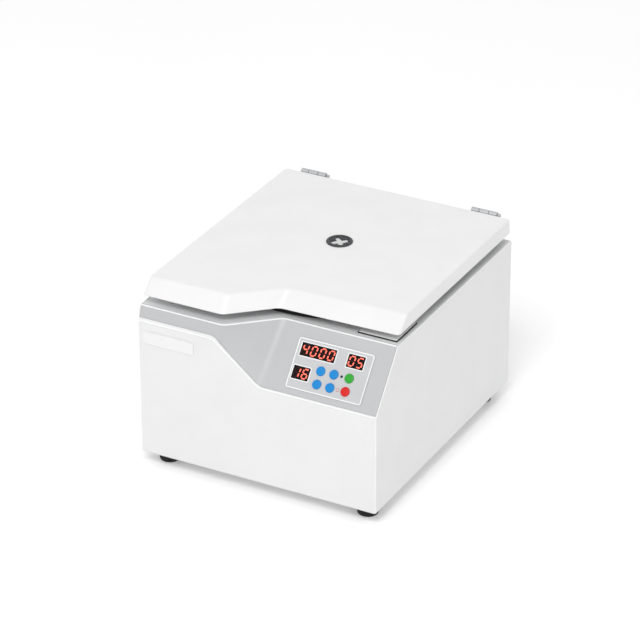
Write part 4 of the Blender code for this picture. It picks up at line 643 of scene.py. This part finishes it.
def hem(name, path, radius, material):
    """The rounded edge of a painted sheet, along a path; in a paint whiter than the sheet's it is
    a painted highlight on that edge.
    """
    curve = bpy.data.curves.new(name, "CURVE")
    curve.dimensions = "3D"
    curve.bevel_depth = radius
    curve.bevel_resolution = HEM_STEPS
    curve.use_fill_caps = True
    line = curve.splines.new("POLY")
    line.points.add(len(path) - 1)
    for point, place in zip(line.points, path):
        point.co = (*place, 1)
    drawn = bpy.data.objects.new(name, curve)
    bpy.context.scene.collection.objects.link(drawn)
    solved = drawn.evaluated_get(bpy.context.evaluated_depsgraph_get())
    mesh = bpy.data.meshes.new_from_object(solved)
    bpy.data.objects.remove(drawn)
    form = bmesh.new()
    form.from_mesh(mesh)
    bpy.data.meshes.remove(mesh)
    bmesh.ops.remove_doubles(form, verts=form.verts, dist=MERGE)
    bmesh.ops.recalc_face_normals(form, faces=form.faces)
    new_piece(name, form, material, "cabinet")


def screw_form(radius, height):
    """A pan head with a cross recess, standing on the XY plane."""
    form = bmesh.new()
    rim = bmesh.ops.create_circle(form, segments=SCREW_STEPS, radius=radius)["verts"]
    rim_edges = form.edges[:]
    cross = bmesh.ops.create_circle(form, segments=CROSS_CORNERS, radius=radius)["verts"]
    cross_edges = [edge for edge in form.edges if edge not in rim_edges]
    reach = radius * CROSS_REACH
    waist = radius * CROSS_WAIST
    arms = [Matrix.Rotation(math.pi / 2 * quarter, 2) @ Vector(point)
            for quarter in range(4) for point in ((reach, -waist), (reach, waist), (waist, waist))]
    arms.sort(key=lambda point: math.atan2(point.y, point.x))
    cross.sort(key=lambda vert: math.atan2(vert.co.y, vert.co.x))
    for vert, point in zip(cross, arms):
        vert.co = (*point, 0)
    bmesh.ops.translate(form, vec=(0, 0, height), verts=rim + cross)
    bmesh.ops.bridge_loops(form, edges=rim_edges + cross_edges)
    for edges, drop in ((rim_edges, height), (cross_edges, height * CROSS_DEEP)):
        made = bmesh.ops.extrude_edge_only(form, edges=edges)["geom"]
        low = [item for item in made if isinstance(item, bmesh.types.BMVert)]
        bmesh.ops.translate(form, vec=(0, 0, -drop), verts=low)
        loop = [item for item in made if isinstance(item, bmesh.types.BMEdge)
                and item.verts[0] in low and item.verts[1] in low]
        bmesh.ops.contextual_create(form, geom=loop)
    bmesh.ops.bevel(form, geom=rim_edges, offset=height * SCREW_ROUND,
                    segments=SCREW_ROUND_STEPS, profile=0.5, affect="EDGES", material=-1)
    bmesh.ops.recalc_face_normals(form, faces=form.faces)
    return form


def make_screws(name, size, places, material):
    """Equal screws, each with its own turn, as one piece."""
    whole = bmesh.new()
    for index, place in enumerate(places):
        form = screw_form(*size)
        turn = Matrix.Rotation(math.radians(SCREW_TURN * index), 4, "Z")
        bmesh.ops.transform(form, matrix=place @ turn, verts=form.verts)
        mesh = bpy.data.meshes.new(name)
        form.to_mesh(mesh)
        form.free()
        whole.from_mesh(mesh)
        bpy.data.meshes.remove(mesh)
    new_piece(name, whole, material, "cabinet")


def make_fasteners(steel):
    """The panel's, the hinges' and the feet's screws."""
    back = Matrix.Rotation(math.radians(-90), 4, "X")
    down = Matrix.Rotation(math.radians(180), 4, "X")
    panel = [Matrix.Translation((x, BACK_Y, z)) @ back for x, z in PANEL_SCREW_PLACES]
    make_screws("panel_screws", PANEL_SCREW, panel, steel)
    for side, middle in (("left", -HINGE_X), ("right", HINGE_X)):
        places = [Matrix.Translation((middle + shift, LEAF_BACK_Y, z)) @ back
                  for z in HINGE_SCREW_Z
                  for shift in (-HINGE_SCREW_SPREAD, 0, HINGE_SCREW_SPREAD)]
        make_screws("hinge_screws_" + side, HINGE_SCREW, places, steel)
    feet = [Matrix.Translation((x, y, FOOT_SEAT_Z)) @ down for _, x, y in FEET]
    make_screws("foot_screws", FOOT_SCREW, feet, steel)


def make_switch_marks(white):
    """A bar and a circle printed on the rocker's two ends."""
    turn = Matrix.Translation(ROCKER_PIVOT) @ Matrix.Rotation(math.radians(ROCKER_TILT), 4, "X")
    face = turn @ Matrix.Rotation(math.radians(-90), 4, "X")
    slope = math.atan2(ROCKER_RISE, ROCKER_RUN)
    for name, up in (("mark_on", MARK_UP), ("mark_off", -MARK_UP)):
        level = ROCKER_LEVEL + abs(up) * math.tan(slope)
        lean = Matrix.Rotation(math.copysign(slope, -up), 4, "X")
        place = face @ Matrix.Translation((0, -up, level)) @ lean
        if name == "mark_off":
            form = printed_ring(MARK_RING_R, MARK_LINE, place)
        else:
            form = bmesh.new()
            bmesh.ops.create_grid(form, x_segments=1, y_segments=1, size=0.5)
            bmesh.ops.scale(form, vec=(*MARK_BAR, 1), verts=form.verts)
            thicken(form)
            bmesh.ops.transform(form, matrix=place, verts=form.verts)
        new_piece(name, form, white, "power_rocker")


def dress_nodes(finishes):
    """Gives each CAD piece the finish that its slot names."""
    for entry in frame["record"]["subparts"]:
        node = frame["nodes"][entry["node"]]
        material = finishes[entry["material_slot"]]
        for index in range(len(node.material_slots)):
            node.material_slots[index].material = material
        if not node.material_slots:
            node.data.materials.append(material)


def seen_level(tree, low, high, target):
    """One level for the light and another for what the camera, gloss or glass sees."""
    path = tree.nodes.new("ShaderNodeLightPath")
    first = tree.nodes.new("ShaderNodeMath")
    second = tree.nodes.new("ShaderNodeMath")
    for node in (first, second):
        node.operation = "MAXIMUM"
    level = tree.nodes.new("ShaderNodeMapRange")
    level.inputs["To Min"].default_value = low
    level.inputs["To Max"].default_value = high
    tree.links.new(path.outputs["Is Camera Ray"], first.inputs[0])
    tree.links.new(path.outputs["Is Glossy Ray"], first.inputs[1])
    tree.links.new(first.outputs["Value"], second.inputs[0])
    tree.links.new(path.outputs["Is Transmission Ray"], second.inputs[1])
    tree.links.new(second.outputs["Value"], level.inputs["Value"])
    tree.links.new(level.outputs["Result"], target)


def make_stage():
    """A white floor that keeps the shadow."""
    material, shader = shader_of("floor_white")
    mottled(material, shader, (FLOOR_WHITE, FLOOR_WHITE, FLOOR_WHITE), FLOOR_WANDER, FLOOR_PATCH)
    shader.inputs["Roughness"].default_value = FLOOR_ROUGH
    shader.inputs["Specular IOR Level"].default_value = 0.0
    shader.inputs["Emission Color"].default_value = (1, 1, 1, 1)
    seen_level(material.node_tree, 0.0, FLOOR_LIFT, shader.inputs["Emission Strength"])
    form = bmesh.new()
    bmesh.ops.create_grid(form, x_segments=1, y_segments=1, size=FLOOR_HALF)
    mesh = bpy.data.meshes.new("floor")
    form.to_mesh(mesh)
    form.free()
    mesh.materials.append(material)
    floor = bpy.data.objects.new("floor", mesh)
    bpy.context.scene.collection.objects.link(floor)


def make_world():
    """White where the camera, gloss or glass sees it, and a softer sky for the light."""
    world = bpy.data.worlds.new("studio")
    bpy.context.scene.world = world
    world.use_nodes = True
    back = world.node_tree.nodes["Background"]
    back.inputs["Color"].default_value = (1, 1, 1, 1)
    seen_level(world.node_tree, SKY_LEVEL, 1.0, back.inputs["Strength"])


def make_key_lamp():
    """One large soft lamp, in front and above."""
    data = bpy.data.lights.new("key", "AREA")
    data.energy = KEY_POWER
    data.size = KEY_SIZE
    lamp = bpy.data.objects.new("key", data)
    bpy.context.scene.collection.objects.link(lamp)
    lamp.location = KEY_PLACE
    aim = Vector(KEY_AIM) - Vector(KEY_PLACE)
    lamp.rotation_euler = aim.to_track_quat("-Z", "Y").to_euler()


def make_camera():
    """The photograph's camera."""
    data = bpy.data.cameras.new("camera")
    data.lens = CAMERA_LENS
    data.clip_end = CAMERA_REACH
    camera = bpy.data.objects.new("camera", data)
    bpy.context.scene.collection.objects.link(camera)
    look = Matrix.Rotation(math.radians(CAMERA_YAW), 4, "Z")
    look = look @ Matrix.Rotation(math.radians(CAMERA_TILT), 4, "X")
    look = look @ Matrix.Rotation(math.radians(CAMERA_ROLL), 4, "Z")
    camera.matrix_world = Matrix.Translation(CAMERA_PLACE) @ look
    bpy.context.scene.camera = camera


make_camera()
make_stage()
make_world()
make_key_lamp()
bpy.context.scene.view_settings.view_transform = "Standard"

finishes = {
    "white_paint": paint("white_paint", (0.86, 0.86, 0.865), 0.35),
    # The lid's paint is set a little whiter than the cabinet's same white: painted light that
    # lifts the lid's top
    "lid_paint": paint("lid_paint", (0.90, 0.90, 0.90), 0.32, soft=0.0012),
    "grey_paint": paint("grey_paint", (0.55, 0.555, 0.565), 0.38),
    # The deck's paint is set greyer than the cabinet's same white: painted shade from the lid over
    # it, on top of the shadow the lid casts
    "deck_paint": paint("deck_paint", (0.77, 0.775, 0.78), 0.42),
    "plate_white": plastic("plate_white", (0.90, 0.90, 0.90), 0.25, depth=0.000004, wander=0.006),
    "overlay_film": plastic("overlay_film", (0.60, 0.61, 0.625), 0.45, depth=0.000012, soft=0.0,
                            shine=0.3),
    "display_black": plastic("display_black", (0.006, 0.004, 0.004), 0.30, depth=0.000001,
                             soft=0.0, shine=0.12),
    "key_blue": plastic("key_blue", (0.012, 0.26, 0.68), 0.42, shine=0.25),
    "key_green": plastic("key_green", (0.035, 0.40, 0.035), 0.42, shine=0.25),
    "key_red": plastic("key_red", (0.72, 0.022, 0.022), 0.42, shine=0.25),
    "indicator_dark": plastic("indicator_dark", (0.012, 0.010, 0.010), 0.30, shine=0.3),
    "indicator_pale": plastic("indicator_pale", (0.78, 0.74, 0.75), 0.30),
    "board_green": plastic("board_green", (0.02, 0.20, 0.08), 0.50),
    "black_rubber": rubber("black_rubber"),
    "black_plastic": plastic("black_plastic", (0.03, 0.03, 0.03), 0.45, depth=0.00003),
    "stainless": spun_metal("stainless", (0.62, 0.62, 0.60), 0.28),
    "cast_aluminium": metal("cast_aluminium", (0.72, 0.72, 0.73), 0.40, depth=0.00004, scale=900),
    "zinc_steel": metal("zinc_steel", (0.50, 0.51, 0.52), 0.45),
    "motor_dark": paint("motor_dark", (0.05, 0.05, 0.055), 0.45),
    "sleeve_blue": plastic("sleeve_blue", (0.10, 0.28, 0.62), 0.50),
    "port_grey": plastic("port_grey", (0.055, 0.057, 0.060), 0.45, shine=0.25),
    "clear_window": clear_plastic("clear_window"),
    "star_white": plastic("star_white", (0.92, 0.92, 0.92), 0.30),
}
dress_nodes(finishes)
digit_lit = glow("digit_lit", (1.0, 0.16, 0.11), 1.0)
digit_dark = plastic("digit_dark", (0.035, 0.010, 0.010), 0.4, depth=0.000001, soft=0.0,
                     shine=0.1)
print_white = plastic("print_white", (0.95, 0.95, 0.95), 0.45, depth=0.000004, soft=0.0,
                      shine=0.3)
print_red = plastic("print_red", (0.62, 0.05, 0.06), 0.45, depth=0.000004, soft=0.0, shine=0.3)
# A whiter, glossier paint for the hems: painted highlight along the cabinet's and fascia's edges
hem_highlight_white = paint("hem_highlight_white", (0.97, 0.97, 0.97), 0.25, soft=0.0)
screw_steel = metal("screw_steel", (0.60, 0.60, 0.60), 0.35)

for rounding, nodes in ROUNDED.items():
    for node in nodes:
        softened(node, finishes, rounding)
make_displays(digit_lit, digit_dark, print_white)
make_keys(finishes, print_red)
make_port_and_feet(finishes)
make_round_mouth(finishes)
make_fasteners(screw_steel)
make_switch_marks(print_white)
# Whiter beads on the fascia's lines, the sides' top edges and the front corners: painted highlight
hem("hem_highlight_fascia_low", filleted(LOW_LINE, LINE_BEND), LINE_R, hem_highlight_white)
hem("hem_highlight_fascia_rim", filleted(RIM_LINE, LINE_BEND), LINE_R, hem_highlight_white)
for side, line in zip(("right", "left"), SIDE_LINES):
    hem("hem_highlight_side_" + side, [Vector(point) for point in line], HEM_R, hem_highlight_white)
for side, line in zip(("right", "left"), CORNER_LINES):
    hem("hem_highlight_corner_" + side, [Vector(point) for point in line], HEM_R, hem_highlight_white)
